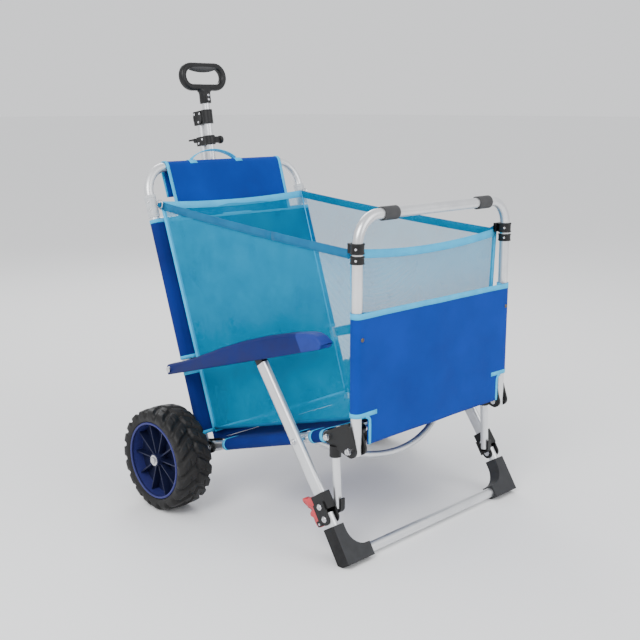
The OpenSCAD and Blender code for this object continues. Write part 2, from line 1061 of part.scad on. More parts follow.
// The fixed tube: straight beside the stem, then bent forward to the lower cross tube.
module handle_tube() {
    color(silver)
        handle_place()
            difference() {
                handle_route(stem_d);
                handle_route(stem_d - 2 * tube_wall, 1);
            }
}

// A block round one cross tube of the back frame and the handle tube, which runs along its Z.
module mount_block(cross_x) {
    depth = 26;
    height = 30;
    wall = 5;
    difference() {
        hull() {
            translate([0, 0, -height / 2])
                cylinder(d = stem_d + 2 * wall, h = height);
            bar_y(cross_x, 0, -depth / 2, depth / 2, cross_d + wall);
        }
        translate([0, 0, -far / 2])
            cylinder(d = stem_d, h = far);
        bar_y(cross_x, 0, -depth, depth, cross_d);
    }
}

module handle_brackets() {
    high = to_handle(cross_high_t);
    low = to_handle(cross_low_t);
    color(black)
        handle_place() {
            difference() {
                translate([-stem_gap, 0, high.y])
                    mount_block(high.x + stem_gap);
                translate([0, 0, -far / 2])
                    cylinder(d = stem_d + 2 * gap, h = far);
            }
            low_place()
                translate([0, 0, low_run])
                    mount_block(-norm(low - low_seat));
        }
}

// The guide block at the fixed tube's top: the stem slides through its front bore.
module handle_guide() {
    block_w = 26;
    block_back = stem_gap + 16;
    color(black)
        handle_place()
            difference() {
                translate([0, 0, guide_h - guide_len / 2]) {
                    cylinder(d = stem_d + 10, h = guide_len);
                    translate([-block_back, -block_w / 2, 0])
                        cube([block_back, block_w, guide_len]);
                }
                cylinder(d = stem_d + 2 * gap, h = far);
                translate([-stem_gap, 0, 0])
                    cylinder(d = stem_d, h = tube_high_h);
            }
}

// The clamp below the guide, with the knob of its screw on the left.
module lever_clamp() {
    block_w = 24;
    block_back = stem_gap + 15;
    knob = [11, 22, 18];
    screw_d = 4.4;
    color(black)
        handle_place()
            difference() {
                translate([0, 0, lever_h - clamp_h / 2]) {
                    cylinder(d = stem_d + 9, h = clamp_h);
                    translate([-block_back, -block_w / 2, 0])
                        cube([block_back, block_w, clamp_h]);
                    translate([0, 8, (clamp_h - knob.z) / 2])
                        cube(knob);
                }
                cylinder(d = stem_d + 2 * gap, h = far);
                translate([-stem_gap, 0, 0])
                    cylinder(d = stem_d, h = far);
                translate([-stem_gap - 11, 0, lever_h])
                    rotate([0, -90, 0])
                        cylinder(d = screw_d, h = far);
            }
}

// The flip lever: a flat flap behind the clamp that turns on a pin along Y.
module clamp_lever() {
    barrel_d = 14;
    flap_w = 22;
    flap_t = 5;
    color(black)
        handle_place()
            translate([-pin_back, 0, lever_h + flap_t]) {
                rotate([90, 0, 0])
                    cylinder(d = barrel_d, h = flap_w - 2, center = true);
                translate([-flap, -flap_w / 2, 1])
                    cube([flap, flap_w, flap_t]);
            }
}

module stem() {
    color(silver)
        handle_place()
            tube(stem_d, stem_top_h);
}

// The grip: a rounded loop on a tapered neck that holds the stem's top end.
module grip() {
    bar = 19;
    collar = 30;
    yoke_h = 24;
    outer_r = grip_h / 2 - 2;
    color(black)
        handle_place()
            difference() {
                union() {
                    translate([0, 0, bar_h - grip_h])
                        rotate([90, 0, 90])
                            linear_extrude(grip_t - 4, center = true)
                                difference() {
                                    hull()
                                        for (y = [outer_r - grip_w / 2, grip_w / 2 - outer_r])
                                            translate([y, grip_h / 2])
                                                circle(r = grip_h / 2);
                                    hull()
                                        for (y = [outer_r - grip_w / 2, grip_w / 2 - outer_r])
                                            translate([y, grip_h / 2])
                                                circle(r = grip_h / 2 - bar);
                                }
                    translate([0, 0, neck_h])
                        cylinder(d = stem_d + 10, h = collar);
                    translate([0, 0, neck_h + collar - 2])
                        rotate([90, 0, 90])
                            linear_extrude(grip_t - 2, center = true)
                                polygon([[-16, 0], [16, 0], [34, yoke_h], [-34, yoke_h]]);
                }
                cylinder(d = stem_d, h = stem_top_h);
            }
}

// ---- Leg rest ----

module rest_tube() {
    color(silver)
        rest_place()
            difference() {
                arch(frame_half, rest_height, rest_bend, tube_d, -tube_tail);
                bar_y(0, 0, -far, far, bolt_hole);
            }
}

// The fabric panel: a sleeve round each upright, cut back above the brackets, and a flat front.
module rest_panel() {
    panel_low = 8;
    sleeve_low = 77;
    web_half = frame_half - 28;
    color(royal)
        rest_place() {
            for (m = [0, 1]) mirror([0, m, 0])
                translate([0, frame_half, 0])
                    sleeve(sleeve_in, sleeve_out, sleeve_low, panel_top);
            difference() {
                translate([sleeve_in, -frame_half, panel_low])
                    cube([cloth, 2 * frame_half, panel_top - panel_low]);
                for (m = [0, 1]) mirror([0, m, 0])
                    translate([0, web_half, 0])
                        cube([tube_d, tube_d * 2, sleeve_low]);
            }
        }
}

// Two soft sleeves on the top bar, for the hands or the calves.
module bar_sleeves() {
    grip_len = 48;
    from_middle = 152;
    sleeve_t = 3.5;
    color(grey)
        rest_place()
            for (m = [0, 1]) mirror([0, m, 0])
                translate([0, from_middle + grip_len, rest_height])
                    rotate([90, 0, 0])
                        linear_extrude(grip_len)
                            ring(tube_d + 2 * sleeve_t, sleeve_t);
}

// Each strap clamp is two rings, with a bar loop on the upper one for the basket's strap.
module rest_clamps() {
    drop = 83;
    low_ring = [-22, -4];
    high_ring = [0, 24];
    bar = [9, 22, 22];
    slot = [4, 19, 14];
    slot_out = clamp_r + 6;
    color(black)
        rest_place()
            for (m = [0, 1]) mirror([0, m, 0])
                translate([0, frame_half, rest_height - drop]) {
                    sleeve(tube_r, clamp_r, low_ring[0], low_ring[1]);
                    sleeve(tube_r, clamp_r, high_ring[0], high_ring[1]);
                    difference() {
                        translate([-clamp_r - bar.x, -16, 1])
                            cube(bar);
                        translate([-slot_out, -17, 5])
                            cube(slot);
                        cylinder(r = clamp_r, h = high_ring[1]);
                    }
                }
}

module panel_snaps() {
    snap_d = 9;
    snap_t = 3;
    snap_up = 257;
    color(silver)
        rest_place()
            for (m = [0, 1]) mirror([0, m, 0])
                translate([sleeve_out, frame_half - 3, snap_up])
                    rotate([0, 90, 0])
                        cylinder(d = snap_d, h = snap_t);
}

// ---- Basket ----

// A wall between four corners, t thick on the side that the corners run anticlockwise about.
module wall(a, b, c, d, t) {
    normal = cross(b - a, d - a);
    n = normal / norm(normal) * t;
    polyhedron(
        points = [a, b, c, d, a + n, b + n, c + n, d + n],
        faces = [
            [0, 1, 2], [0, 2, 3], [4, 6, 5], [4, 7, 6],
            for (i = [0:3]) [i, i + 4, (i + 1) % 4],
            for (i = [0:3]) [(i + 1) % 4, i + 4, (i + 1) % 4 + 4]
        ]
    );
}

// Heights of the floor at a distance x, and of the sloping rim.
function floor_z(x) = hinge_z + x * tan(seat_slope) + floor_n / cos(seat_slope);
function rear_wall_x(z) = -(z - hinge_z) * tan(back_lean) + rear_n / cos(back_lean);
basket_rear_top = [rear_wall_x(basket_rear_z), basket_rear_z];
basket_front_top = [basket_front_x, basket_front_z];
basket_low_z = 184;
basket_rear_low = [rear_wall_x(basket_low_z), basket_low_z];
basket_front_low = [basket_front_x - 3, floor_z(basket_front_x) + 8];

module basket_floor() {
    rear_gap = 12;
    front_gap = 8;
    x0 = basket_rear_low.x + rear_gap;
    x1 = basket_front_x - front_gap;
    color(teal)
        placed()
            slab(-floor_half + 1, 2 * floor_half - 2)
                polygon([
                    [x0, floor_z(x0)],
                    [x1, floor_z(x1)],
                    [x1, floor_z(x1) + skin],
                    [x0, floor_z(x0) + skin]
                ]);
}

module basket_walls() {
    inset = skin + 1;
    rl = basket_rear_low;
    rt = basket_rear_top;
    fl = basket_front_low;
    ft = basket_front_top;
    color(teal)
        placed() {
            for (m = [0, 1]) mirror([0, m, 0])
                wall(
                    [fl.x, -floor_half, fl.y],
                    [rl.x, -floor_half, rl.y],
                    [rt.x, -basket_rear_half, rt.y],
                    [ft.x, -basket_front_half, ft.y],
                    skin
                );
            wall(
                [rl.x, inset - floor_half, rl.y],
                [rl.x, floor_half - inset, rl.y],
                [rt.x, basket_rear_half - inset, rt.y],
                [rt.x, inset - basket_rear_half, rt.y],
                skin
            );
            wall(
                [fl.x, floor_half - inset, fl.y],
                [fl.x, inset - floor_half, fl.y],
                [ft.x, inset - basket_front_half, ft.y],
                [ft.x, basket_front_half - inset, ft.y],
                skin
            );
        }
}

// The webbing along each side of the rim.
module basket_webbing() {
    t = 2;
    rt = basket_rear_top;
    ft = basket_front_top;
    h = [0, 0, webbing_h];
    color(teal)
        placed() {
            for (m = [0, 1]) mirror([0, m, 0]) {
                a = [rt.x - 2, -basket_rear_half - gap, rt.y - webbing_h];
                b = [ft.x - 2, -basket_front_half - gap, ft.y - webbing_h];
                wall(a, b, b + h, a + h, t);
            }
        }
}

seat_rail(1);  // seat_rail_left
seat_rail(-1);  // seat_rail_right
rear_cross_tube();
front_cross_tube();
bowed_cross_bar();
seat_sling();
rear_bracket(1);  // rear_bracket_left
rear_bracket(-1);  // rear_bracket_right
axle(1);  // axle_left
axle(-1);  // axle_right
recline_bolts();
front_bracket(1);  // front_bracket_left
front_bracket(-1);  // front_bracket_right
bracket_bolts();
leg_tube(1);  // leg_tube_left
leg_tube(-1);  // leg_tube_right
leg_bolts();
leg_cap(1);  // leg_cap_left
leg_cap(-1);  // leg_cap_right
link(1);  // link_left
link(-1);  // link_right
link_collars();
knuckle(1);  // knuckle_left
knuckle(-1);  // knuckle_right
knuckle_pins();
foot_tube();
foot(1);  // foot_left
foot(-1);  // foot_right
latch_lever();
tyre(1);  // tyre_left
tyre(-1);  // tyre_right
hub(1);  // hub_left
hub(-1);  // hub_right
axle_cap(1);  // axle_cap_left
axle_cap(-1);  // axle_cap_right
back_tube();
back_cross_tubes();
back_sling();
headrest();
carry_strap();
back_clamps();
strap_loops();
armrest(1);  // armrest_left
armrest(-1);  // armrest_right
armrest_bolts();
handle_tube();
handle_brackets();
handle_guide();
lever_clamp();
clamp_lever();
stem();
grip();
rest_tube();
rest_panel();
bar_sleeves();
rest_clamps();
panel_snaps();
basket_floor();
basket_walls();
basket_webbing();
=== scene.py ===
import json
import math

import bpy
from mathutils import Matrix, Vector, noise


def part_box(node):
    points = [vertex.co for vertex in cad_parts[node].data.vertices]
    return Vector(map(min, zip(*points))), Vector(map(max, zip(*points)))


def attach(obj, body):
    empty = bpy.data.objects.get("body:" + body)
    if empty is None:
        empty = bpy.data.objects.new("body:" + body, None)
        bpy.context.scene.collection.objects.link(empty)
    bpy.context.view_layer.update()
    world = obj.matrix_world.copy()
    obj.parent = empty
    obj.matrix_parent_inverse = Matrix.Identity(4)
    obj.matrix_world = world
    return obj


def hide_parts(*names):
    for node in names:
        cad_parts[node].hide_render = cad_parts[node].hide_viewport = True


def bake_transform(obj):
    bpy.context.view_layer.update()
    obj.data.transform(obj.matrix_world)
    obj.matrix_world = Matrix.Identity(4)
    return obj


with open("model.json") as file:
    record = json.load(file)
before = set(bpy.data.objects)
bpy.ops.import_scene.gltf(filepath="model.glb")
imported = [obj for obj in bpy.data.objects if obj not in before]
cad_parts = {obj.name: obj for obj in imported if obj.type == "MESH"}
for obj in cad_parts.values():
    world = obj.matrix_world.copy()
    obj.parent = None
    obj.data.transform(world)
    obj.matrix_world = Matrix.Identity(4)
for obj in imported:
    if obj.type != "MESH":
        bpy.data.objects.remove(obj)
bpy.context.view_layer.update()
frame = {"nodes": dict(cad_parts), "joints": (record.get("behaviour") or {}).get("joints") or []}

joints = {j["name"]: j for j in frame["joints"]}

# ---- Studio ----
# A plain pale floor that the cart stands on, under three large soft lamps and a pale sky,
# with a camera that looks down on the foot end from the cart's right.
floor_reach = 90
floor_corners = [(-1, -1), (1, -1), (1, 1), (-1, 1)]
floor_mesh = bpy.data.meshes.new("studio_floor")
floor_mesh.from_pydata([(x * floor_reach, y * floor_reach, 0) for x, y in floor_corners], [], [(0, 1, 2, 3)])
studio_floor = bpy.data.objects.new("studio_floor", floor_mesh)
studio_floor.location.z = -0.0006
bpy.context.scene.collection.objects.link(studio_floor)

studio_paper = bpy.data.materials.new("studio_paper")
studio_paper.use_nodes = True
paper_shader = studio_paper.node_tree.nodes["Principled BSDF"]
paper_shader.inputs["Base Color"].default_value = (0.92, 0.92, 0.92, 1)
paper_shader.inputs["Roughness"].default_value = 0.9
floor_mesh.materials.append(studio_paper)

sky = bpy.data.worlds.new("studio_sky")
sky.use_nodes = True
sky.node_tree.nodes["Background"].inputs["Color"].default_value = (0.97, 0.98, 1.0, 1)
sky.node_tree.nodes["Background"].inputs["Strength"].default_value = 1.1
bpy.context.scene.world = sky

cart_middle = Vector((0.05, 0, 0.5))
for lamp_name, lamp_at, lamp_size, lamp_power in [
    ("key_lamp", (1.2, -3.2, 3.2), 2.4, 130),
    ("fill_lamp", (3.4, 0.8, 2.2), 2.6, 45),
    ("rim_lamp", (-2.6, 1.6, 2.8), 2.2, 45),
]:
    lamp = bpy.data.lights.new(lamp_name, "AREA")
    lamp.shape = "DISK"
    lamp.size = lamp_size
    lamp.energy = lamp_power
    lamp_object = bpy.data.objects.new(lamp_name, lamp)
    lamp_object.location = lamp_at
    lamp_object.rotation_euler = (cart_middle - Vector(lamp_at)).to_track_quat("-Z", "Y").to_euler()
    bpy.context.scene.collection.objects.link(lamp_object)

camera_down, camera_turn = 12.13, 44.92
camera = bpy.data.cameras.new("camera")
camera.lens = 56.04
camera.sensor_width = 36
camera_object = bpy.data.objects.new("camera", camera)
camera_object.location = (1.91528, -1.86236, 1.03338)
camera_object.rotation_euler = (math.radians(90 - camera_down), 0, math.radians(camera_turn))
bpy.context.scene.collection.objects.link(camera_object)
bpy.context.scene.camera = camera_object


# ---- Aluminium tubes ----
# Drawn aluminium tube, bent cold and anodised a satin silver, with fine handling scuffs.
# Every finish below is built from the same few steps: a colour that drifts a little over
# the surface, a roughness that drifts with it, and one or more layers of fine relief.
def add(material, kind, **settings):
    new = material.node_tree.nodes.new(kind)
    for name, value in settings.items():
        if name.replace("_", " ") in new.inputs:
            new.inputs[name.replace("_", " ")].default_value = value
        else:
            setattr(new, name, value)
    return new


def join(material, source, target):
    material.node_tree.links.new(source, target)


def shader_of(material):
    return material.node_tree.nodes["Principled BSDF"]


def finish(name, colour, rough, **sockets):
    material = bpy.data.materials.new(name)
    material.use_nodes = True
    shader = shader_of(material)
    shader.inputs["Base Color"].default_value = (*colour, 1)
    shader.inputs["Roughness"].default_value = rough
    for socket, value in sockets.items():
        shader.inputs[socket.replace("_", " ")].default_value = value
    return material


def place_in(material, turn=(0, 0, 0), stretch=(1, 1, 1), by="Object"):
    where = add(material, "ShaderNodeTexCoord")
    mapping = add(material, "ShaderNodeMapping", Rotation=turn, Scale=stretch)
    join(material, where.outputs[by], mapping.inputs["Vector"])
    return mapping.outputs["Vector"]


def speckle(material, vector, scale, detail=3, rough=0.55):
    speck = add(material, "ShaderNodeTexNoise", Scale=scale, Detail=detail, Roughness=rough)
    join(material, vector, speck.inputs["Vector"])
    return speck.outputs["Fac"]


def blend_colours(material, fac, stops):
    ramp = add(material, "ShaderNodeValToRGB")
    while len(ramp.color_ramp.elements) < len(stops):
        ramp.color_ramp.elements.new(0.5)
    for element, (at, colour) in zip(ramp.color_ramp.elements, stops):
        element.position = at
        element.color = (*colour, 1)
    join(material, fac, ramp.inputs["Fac"])
    return ramp.outputs["Color"]


def spread(material, fac, low, high, start=0.3, end=0.7):
    span = add(material, "ShaderNodeMapRange", From_Min=start, From_Max=end, To_Min=low, To_Max=high)
    join(material, fac, span.inputs["Value"])
    return span.outputs["Result"]


def relief(material, height, distance, strength=1.0):
    bump = add(material, "ShaderNodeBump", Distance=distance, Strength=strength)
    join(material, height, bump.inputs["Height"])
    normal = shader_of(material).inputs["Normal"]
    if normal.is_linked:
        join(material, normal.links[0].from_socket, bump.inputs["Normal"])
    join(material, bump.outputs["Normal"], normal)


def drifting(material, vector, scale, dark, light, rough_low, rough_high):
    drift = speckle(material, vector, scale, 4)
    join(material, blend_colours(material, drift, [(0.3, dark), (0.7, light)]),
         shader_of(material).inputs["Base Color"])
    join(material, spread(material, drift, rough_low, rough_high), shader_of(material).inputs["Roughness"])


def coat(node, material):
    for slot in frame["nodes"][node].material_slots:
        slot.link = "OBJECT"
        slot.material = material

def grained(name, colour, rough, drift, grain, **sockets):
    """A finish that drifts (scale, dark, light, low, high) over a fine grain
    (scale, detail, depth, strength)."""
    material = finish(name, colour, rough, **sockets)
    everywhere = place_in(material)
    drifting(material, everywhere, *drift)
    relief(material, speckle(material, everywhere, *grain[:2]), *grain[2:])
    return material


satin_aluminium = grained(
    "satin_aluminium", (0.74, 0.75, 0.76), 0.34, (9, (0.66, 0.67, 0.69), (0.8, 0.81, 0.82), 0.28, 0.42),
    (1400, 2, 0.00008, 0.35), Metallic=0.88,
)
relief(satin_aluminium, speckle(satin_aluminium, place_in(satin_aluminium), 60, 5), 0.0002, 0.25)
for tube in [
    "seat_rail_left", "seat_rail_right", "rear_cross_tube", "front_cross_tube", "bowed_cross_bar",
    "leg_tube_left", "leg_tube_right", "link_left", "link_right", "foot_tube", "back_tube",
    "back_cross_tubes", "handle_tube", "stem", "rest_tube",
]:
    coat(tube, satin_aluminium)

# ---- Bolts, pins and rivets ----
# Zinc-plated steel: shafts and heads come from the frame, and a domed rivet head with a
# shallow drive recess is pressed over each end that shows.
bright_steel = grained(
    "bright_steel", (0.68, 0.68, 0.7), 0.22, (70, (0.55, 0.55, 0.57), (0.78, 0.78, 0.8), 0.16, 0.34),
    (900, 3, 0.0001, 0.3), Metallic=1.0,
)


def soften(piece, width, segments=2, angle=40):
    bevel = piece.modifiers.new("eased_edges", "BEVEL")
    bevel.width = width
    bevel.segments = segments
    bevel.limit_method = "ANGLE"
    bevel.angle_limit = math.radians(angle)
    bevel.harden_normals = False


for steel in [
    "axle_left", "axle_right", "recline_bolts", "bracket_bolts", "leg_bolts", "knuckle_pins",
    "armrest_bolts", "strap_loops",
]:
    coat(steel, bright_steel)


def mesh_piece(name, points, faces, material, body, smooth=True, uvs=None):
    data = bpy.data.meshes.new(name)
    data.from_pydata([tuple(p) for p in points], [], faces)
    data.update()
    if uvs:
        layer = data.uv_layers.new(name="lay")
        for loop in data.loops:
            layer.data[loop.index].uv = uvs[loop.vertex_index]
    data.polygons.foreach_set("use_smooth", [smooth] * len(data.polygons))
    data.materials.append(material)
    piece = bpy.data.objects.new(name, data)
    bpy.context.scene.collection.objects.link(piece)
    if body:
        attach(piece, body)
    return piece


def loft_data(rings, round_path=False, capped=True):
    """Points, faces and lays of a skin stretched over closed rings of the same count."""
    count = len(rings[0])
    points = [p for ring in rings for p in ring]
    faces = []
    for i in range(len(rings) if round_path else len(rings) - 1):
        here, there = i * count, ((i + 1) % len(rings)) * count
        for k in range(count):
            n = (k + 1) % count
            faces.append((here + k, here + n, there + n, there + k))
    if capped and not round_path:
        faces.append(tuple(reversed(range(count))))
        faces.append(tuple(range(len(points) - count, len(points))))
    lays = []
    along = 0
    for i, ring in enumerate(rings):
        if i:
            along += (ring[0] - rings[i - 1][0]).length
        around = 0
        for k, p in enumerate(ring):
            if k:
                around += (p - ring[k - 1]).length
            lays.append((along, around))
    return points, faces, lays


def loft(name, rings, material, body, slot, **how):
    points, faces, lays = loft_data(rings, **how)
    return mesh_piece(name, points, faces, material, body, uvs=lays)


def gather(name, parts, material, body, smooth=True):
    """Several separate skins as one piece."""
    points, faces, lays = [], [], []
    for some_points, some_faces, some_lays in parts:
        faces += [tuple(i + len(points) for i in face) for face in some_faces]
        points += some_points
        lays += some_lays
    return mesh_piece(name, points, faces, material, body, smooth, lays)


def circle(centre, across, up, radius, count):
    angles = [2 * math.pi * k / count for k in range(count)]
    return [centre + across * radius * math.cos(a) + up * radius * math.sin(a) for a in angles]


def square_to(axis):
    across = axis.orthogonal().normalized()
    return across, axis.cross(across).normalized()


def turned(centre, axis, outline, count=24):
    """A lathe-turned skin: outline is (radius, height along the axis)."""
    axis = axis.normalized()
    across, up = square_to(axis)
    return loft_data([circle(centre + axis * h, across, up, max(r, 1e-5), count) for r, h in outline])


def rivet(centre, axis, radius, height=0.0022):
    dome = [(radius, 0), (radius, height * 0.35), (radius * 0.9, height * 0.75), (radius * 0.66, height)]
    recess = [(radius * 0.4, height * 0.98), (radius * 0.34, height * 0.45), (0, height * 0.4)]
    return turned(centre, axis, dome + recess, 20)


def leaning(origin, lean_degrees):
    """A frame that leans back from upright: (forward, left, up) in millimetres to a point."""
    origin = Vector(origin)
    lean = math.radians(lean_degrees)
    forward = Vector((math.cos(lean), 0, math.sin(lean)))
    up = Vector((-math.sin(lean), 0, math.cos(lean)))

    def place(n, y, t):
        return origin + (forward * n + up * t + Vector((0, y, 0))) / 1000

    place.forward, place.up, place.left = forward, up, Vector((0, 1, 0))
    return place


back_hinge = joints["back_recline"]["pos_m"]
rest_hinge = joints["leg_rest_fold"]["pos_m"]
arm_hinge = joints["armrest_left_turn"]["pos_m"]
axle_at = joints["wheel_left_spin"]["pos_m"]
foot_pin = joints["foot_fold"]["pos_m"]
catch_pin = joints["latch_turn"]["pos_m"]
lever_pin = joints["clamp_lever_flip"]["pos_m"]
back_lean = 18.2
seat_slope = 17
arm_slope = 16.4
foot_lean = 32
handle_lean = 8.4
in_back = leaning(back_hinge, back_lean)
in_rest = leaning(rest_hinge, 0)
in_arm = leaning(arm_hinge, arm_slope)
lever_back, lever_up = 58, 284
in_lever = leaning(lever_pin, handle_lean)
in_handle = leaning(in_lever(lever_back, 0, -lever_up), handle_lean)


def in_seat(s, y, n):
    slope = math.radians(seat_slope)
    along = Vector((math.cos(slope), 0, math.sin(slope)))
    above = Vector((-math.sin(slope), 0, math.cos(slope)))
    return Vector(back_hinge) + (along * s + above * n + Vector((0, y, 0))) / 1000


sides = [("left", 1), ("right", -1)]
plate_face, pin_face, leg_face = 302.5, 335.9, 331
head_r, leg_head_r = 0.0072, 0.0066
plate_bolts = [
    (in_seat(0, 0, 0), 4.8), (in_seat(44, 0, 0), 2.8), (Vector(rest_hinge), 4.8), (in_seat(498.5, 0, 0), 2.8),
]
knuckle_at = Vector((0.39031, 0, 0.127))
leg_pivot = in_seat(412, 0, 0)
riveted = [(at, plate_face + stand, head_r) for at, stand in plate_bolts]
riveted += [(at, pin_face, head_r) for at in (knuckle_at, Vector(foot_pin))]
riveted.append((leg_pivot, leg_face, leg_head_r))
frame_rivets = []
for side_name, s in sides:
    outward = Vector((0, s, 0))
    frame_rivets += [rivet(at + outward * out / 1000, outward, radius) for at, out, radius in riveted]
gather("frame_rivets", frame_rivets, bright_steel, "chassis")

# ---- Hinge plates, knuckles and clamps ----
# Glass-filled nylon, moulded black with a fine spark grain and eased edges, a little
# dusty in patches that drift at random over the surface.
black_moulding = grained(
    "black_moulding", (0.005, 0.005, 0.006), 0.36,
    (35, (0.004, 0.004, 0.0045), (0.009, 0.009, 0.0095), 0.3, 0.48),
    (1100, 2, 0.00012, 0.4), Specular_IOR_Level=0.35,
)
for moulding in [
    "rear_bracket_left", "rear_bracket_right", "front_bracket_left", "front_bracket_right",
    "leg_cap_left", "leg_cap_right", "link_collars", "knuckle_left", "knuckle_right",
    "handle_brackets", "handle_guide", "lever_clamp", "clamp_lever",
]:
    coat(moulding, black_moulding)
    soften(frame["nodes"][moulding], 0.0009)

# ---- Foot frame shells ----
# Grey polypropylene corner shells pushed over the bends of the foot frame: textured on
# the front, and painted darker on the outer side as shade.
def two_tone(material, share, first, second):
    """Mixes two colours, each a plain colour or a node's output, into the surface."""
    mix = add(material, "ShaderNodeMixRGB")
    join(material, share, mix.inputs["Fac"])
    for socket, colour in [("Color1", first), ("Color2", second)]:
        if isinstance(colour, tuple):
            mix.inputs[socket].default_value = (*colour, 1)
        else:
            join(material, colour, mix.inputs[socket])
    join(material, mix.outputs["Color"], shader_of(material).inputs["Base Color"])

foot_grey = finish("foot_grey", (0.02, 0.021, 0.023), 0.6, Specular_IOR_Level=0.3)
everywhere = place_in(foot_grey)
grey_drift = speckle(foot_grey, everywhere, 40, 4)
outer_side = add(foot_grey, "ShaderNodeSeparateXYZ")
join(foot_grey, everywhere, outer_side.inputs["Vector"])
to_side = add(foot_grey, "ShaderNodeMath", operation="ABSOLUTE")
join(foot_grey, outer_side.outputs["Y"], to_side.inputs[0])
# painted shade: the outer side faces of the shells are mixed toward near-black
shade = spread(foot_grey, to_side.outputs["Value"], 0, 1, 0.3315, 0.3335)
front_grey = blend_colours(foot_grey, grey_drift, [(0.3, (0.02, 0.021, 0.023)), (0.7, (0.036, 0.037, 0.04))])
two_tone(foot_grey, shade, front_grey, (0.008, 0.008, 0.009))
join(foot_grey, spread(foot_grey, grey_drift, 0.5, 0.72), shader_of(foot_grey).inputs["Roughness"])
relief(foot_grey, speckle(foot_grey, everywhere, 900, 2), 0.0002, 0.6)
for shell in ["foot_left", "foot_right"]:
    coat(shell, foot_grey)
    soften(frame["nodes"][shell], 0.0016, 3, 35)

# ---- Red catch ----
# A gloss red acetal lever behind the right knuckle: a scooped finger pad at the top, a
# stop below it, and an eye at the foot that turns on a steel pin.
catch_red = grained(
    "catch_red", (0.55, 0.02, 0.035), 0.3, (60, (0.46, 0.018, 0.03), (0.62, 0.03, 0.045), 0.24, 0.4),
    (700, 2, 0.0001, 0.3), Coat_Weight=0.3,
)


def rounded(points, times=2):
    """Cuts the corners of a closed outline."""
    for _ in range(times):
        cut = []
        for k, p in enumerate(points):
            q = points[(k + 1) % len(points)]
            cut.append((p[0] * 0.75 + q[0] * 0.25, p[1] * 0.75 + q[1] * 0.25))
            cut.append((p[0] * 0.25 + q[0] * 0.75, p[1] * 0.25 + q[1] * 0.75))
        points = cut
    return points


def slab(place, outline, y0, y1, ease=0.8):
    """An outline in a leaning frame, made thick along Y with eased edges."""
    middle = [sum(p[i] for p in outline) / len(outline) for i in (0, 1)]
    rings = []
    for y, inset in [(y0, ease), (y0 + ease * 0.3, ease * 0.3), (y0 + ease, 0),
                     (y1 - ease, 0), (y1 - ease * 0.3, ease * 0.3), (y1, ease)]:
        ring = []
        for n, t in outline:
            reach = math.hypot(n - middle[0], t - middle[1])
            keep = 1 - inset / max(reach, 1)
            ring.append(place(middle[0] + (n - middle[0]) * keep, y, middle[1] + (t - middle[1]) * keep))
        rings.append(ring)
    return loft_data(rings)


in_catch = leaning(catch_pin, foot_lean)
catch_outline = rounded([
    (-12, -7), (4, -8), (8, 2), (6, 14), (6, 60), (-2, 66), (-14, 66), (-24, 72), (-31, 68),
    (-26, 56), (-20, 50), (-21, 46), (-13, 42), (-12, 37), (-22, 32), (-23, 25), (-14, 20), (-16, 6),
])
catch_outer, catch_inner = -325, -309
catch_skin = slab(in_catch, catch_outline, catch_outer, catch_inner)
red_catch = gather("red_catch", [catch_skin], catch_red, "latch")
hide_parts("latch_lever")
pin_head = rivet(in_catch(0, catch_outer - 0.4, 0), Vector((0, -1, 0)), 0.0042)
gather("catch_pin_heads", [pin_head], bright_steel, "latch")

# ---- Tyres ----
# Blow-moulded rubber-faced tyres, wide enough to float on soft sand: chunky leaning lugs
# either side of a zigzag middle groove, running out over round shoulders to a plain wall.
tyre_rubber = grained(
    "tyre_rubber", (0.006, 0.006, 0.0065), 0.55,
    (28, (0.005, 0.005, 0.0055), (0.012, 0.0115, 0.0115), 0.42, 0.66),
    (500, 3, 0.0003, 0.45), Specular_IOR_Level=0.3,
)
tyre_low, tyre_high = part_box("tyre_left")
tyre_r = (tyre_high.z - tyre_low.z) * 500
half_w = (tyre_high.y - tyre_low.y) * 500
tyre_mid = (tyre_high.y + tyre_low.y) * 500
lugs = 20
steps_per_lug = 16
groove_depth = 6.5
bead_r = 101.4
tread_half = 41
crown = 3.2


def plateau(x, low, high, soft):
    return max(0.0, min(1.0, (x - low) / soft, (high - x) / soft))


def lug_height(turn, across):
    """1 on a lug and 0 in a groove; turn counts lugs and across runs from -1 to 1."""
    out = abs(across)
    phase = (turn + (0.5 if across > 0 else 0) + 0.62 * out ** 1.4) % 1
    lug = plateau(phase, 0, 0.74, 0.07)
    zigzag = 0.05 + 0.03 * math.sin(2 * math.pi * turn * 2)
    middle = plateau(out, zigzag, 9, 0.05)
    cut = 1 - 0.85 * plateau(out, 0.5, 0.585, 0.03) * plateau(phase, 0.0, 0.45, 0.08)
    return lug * middle * cut


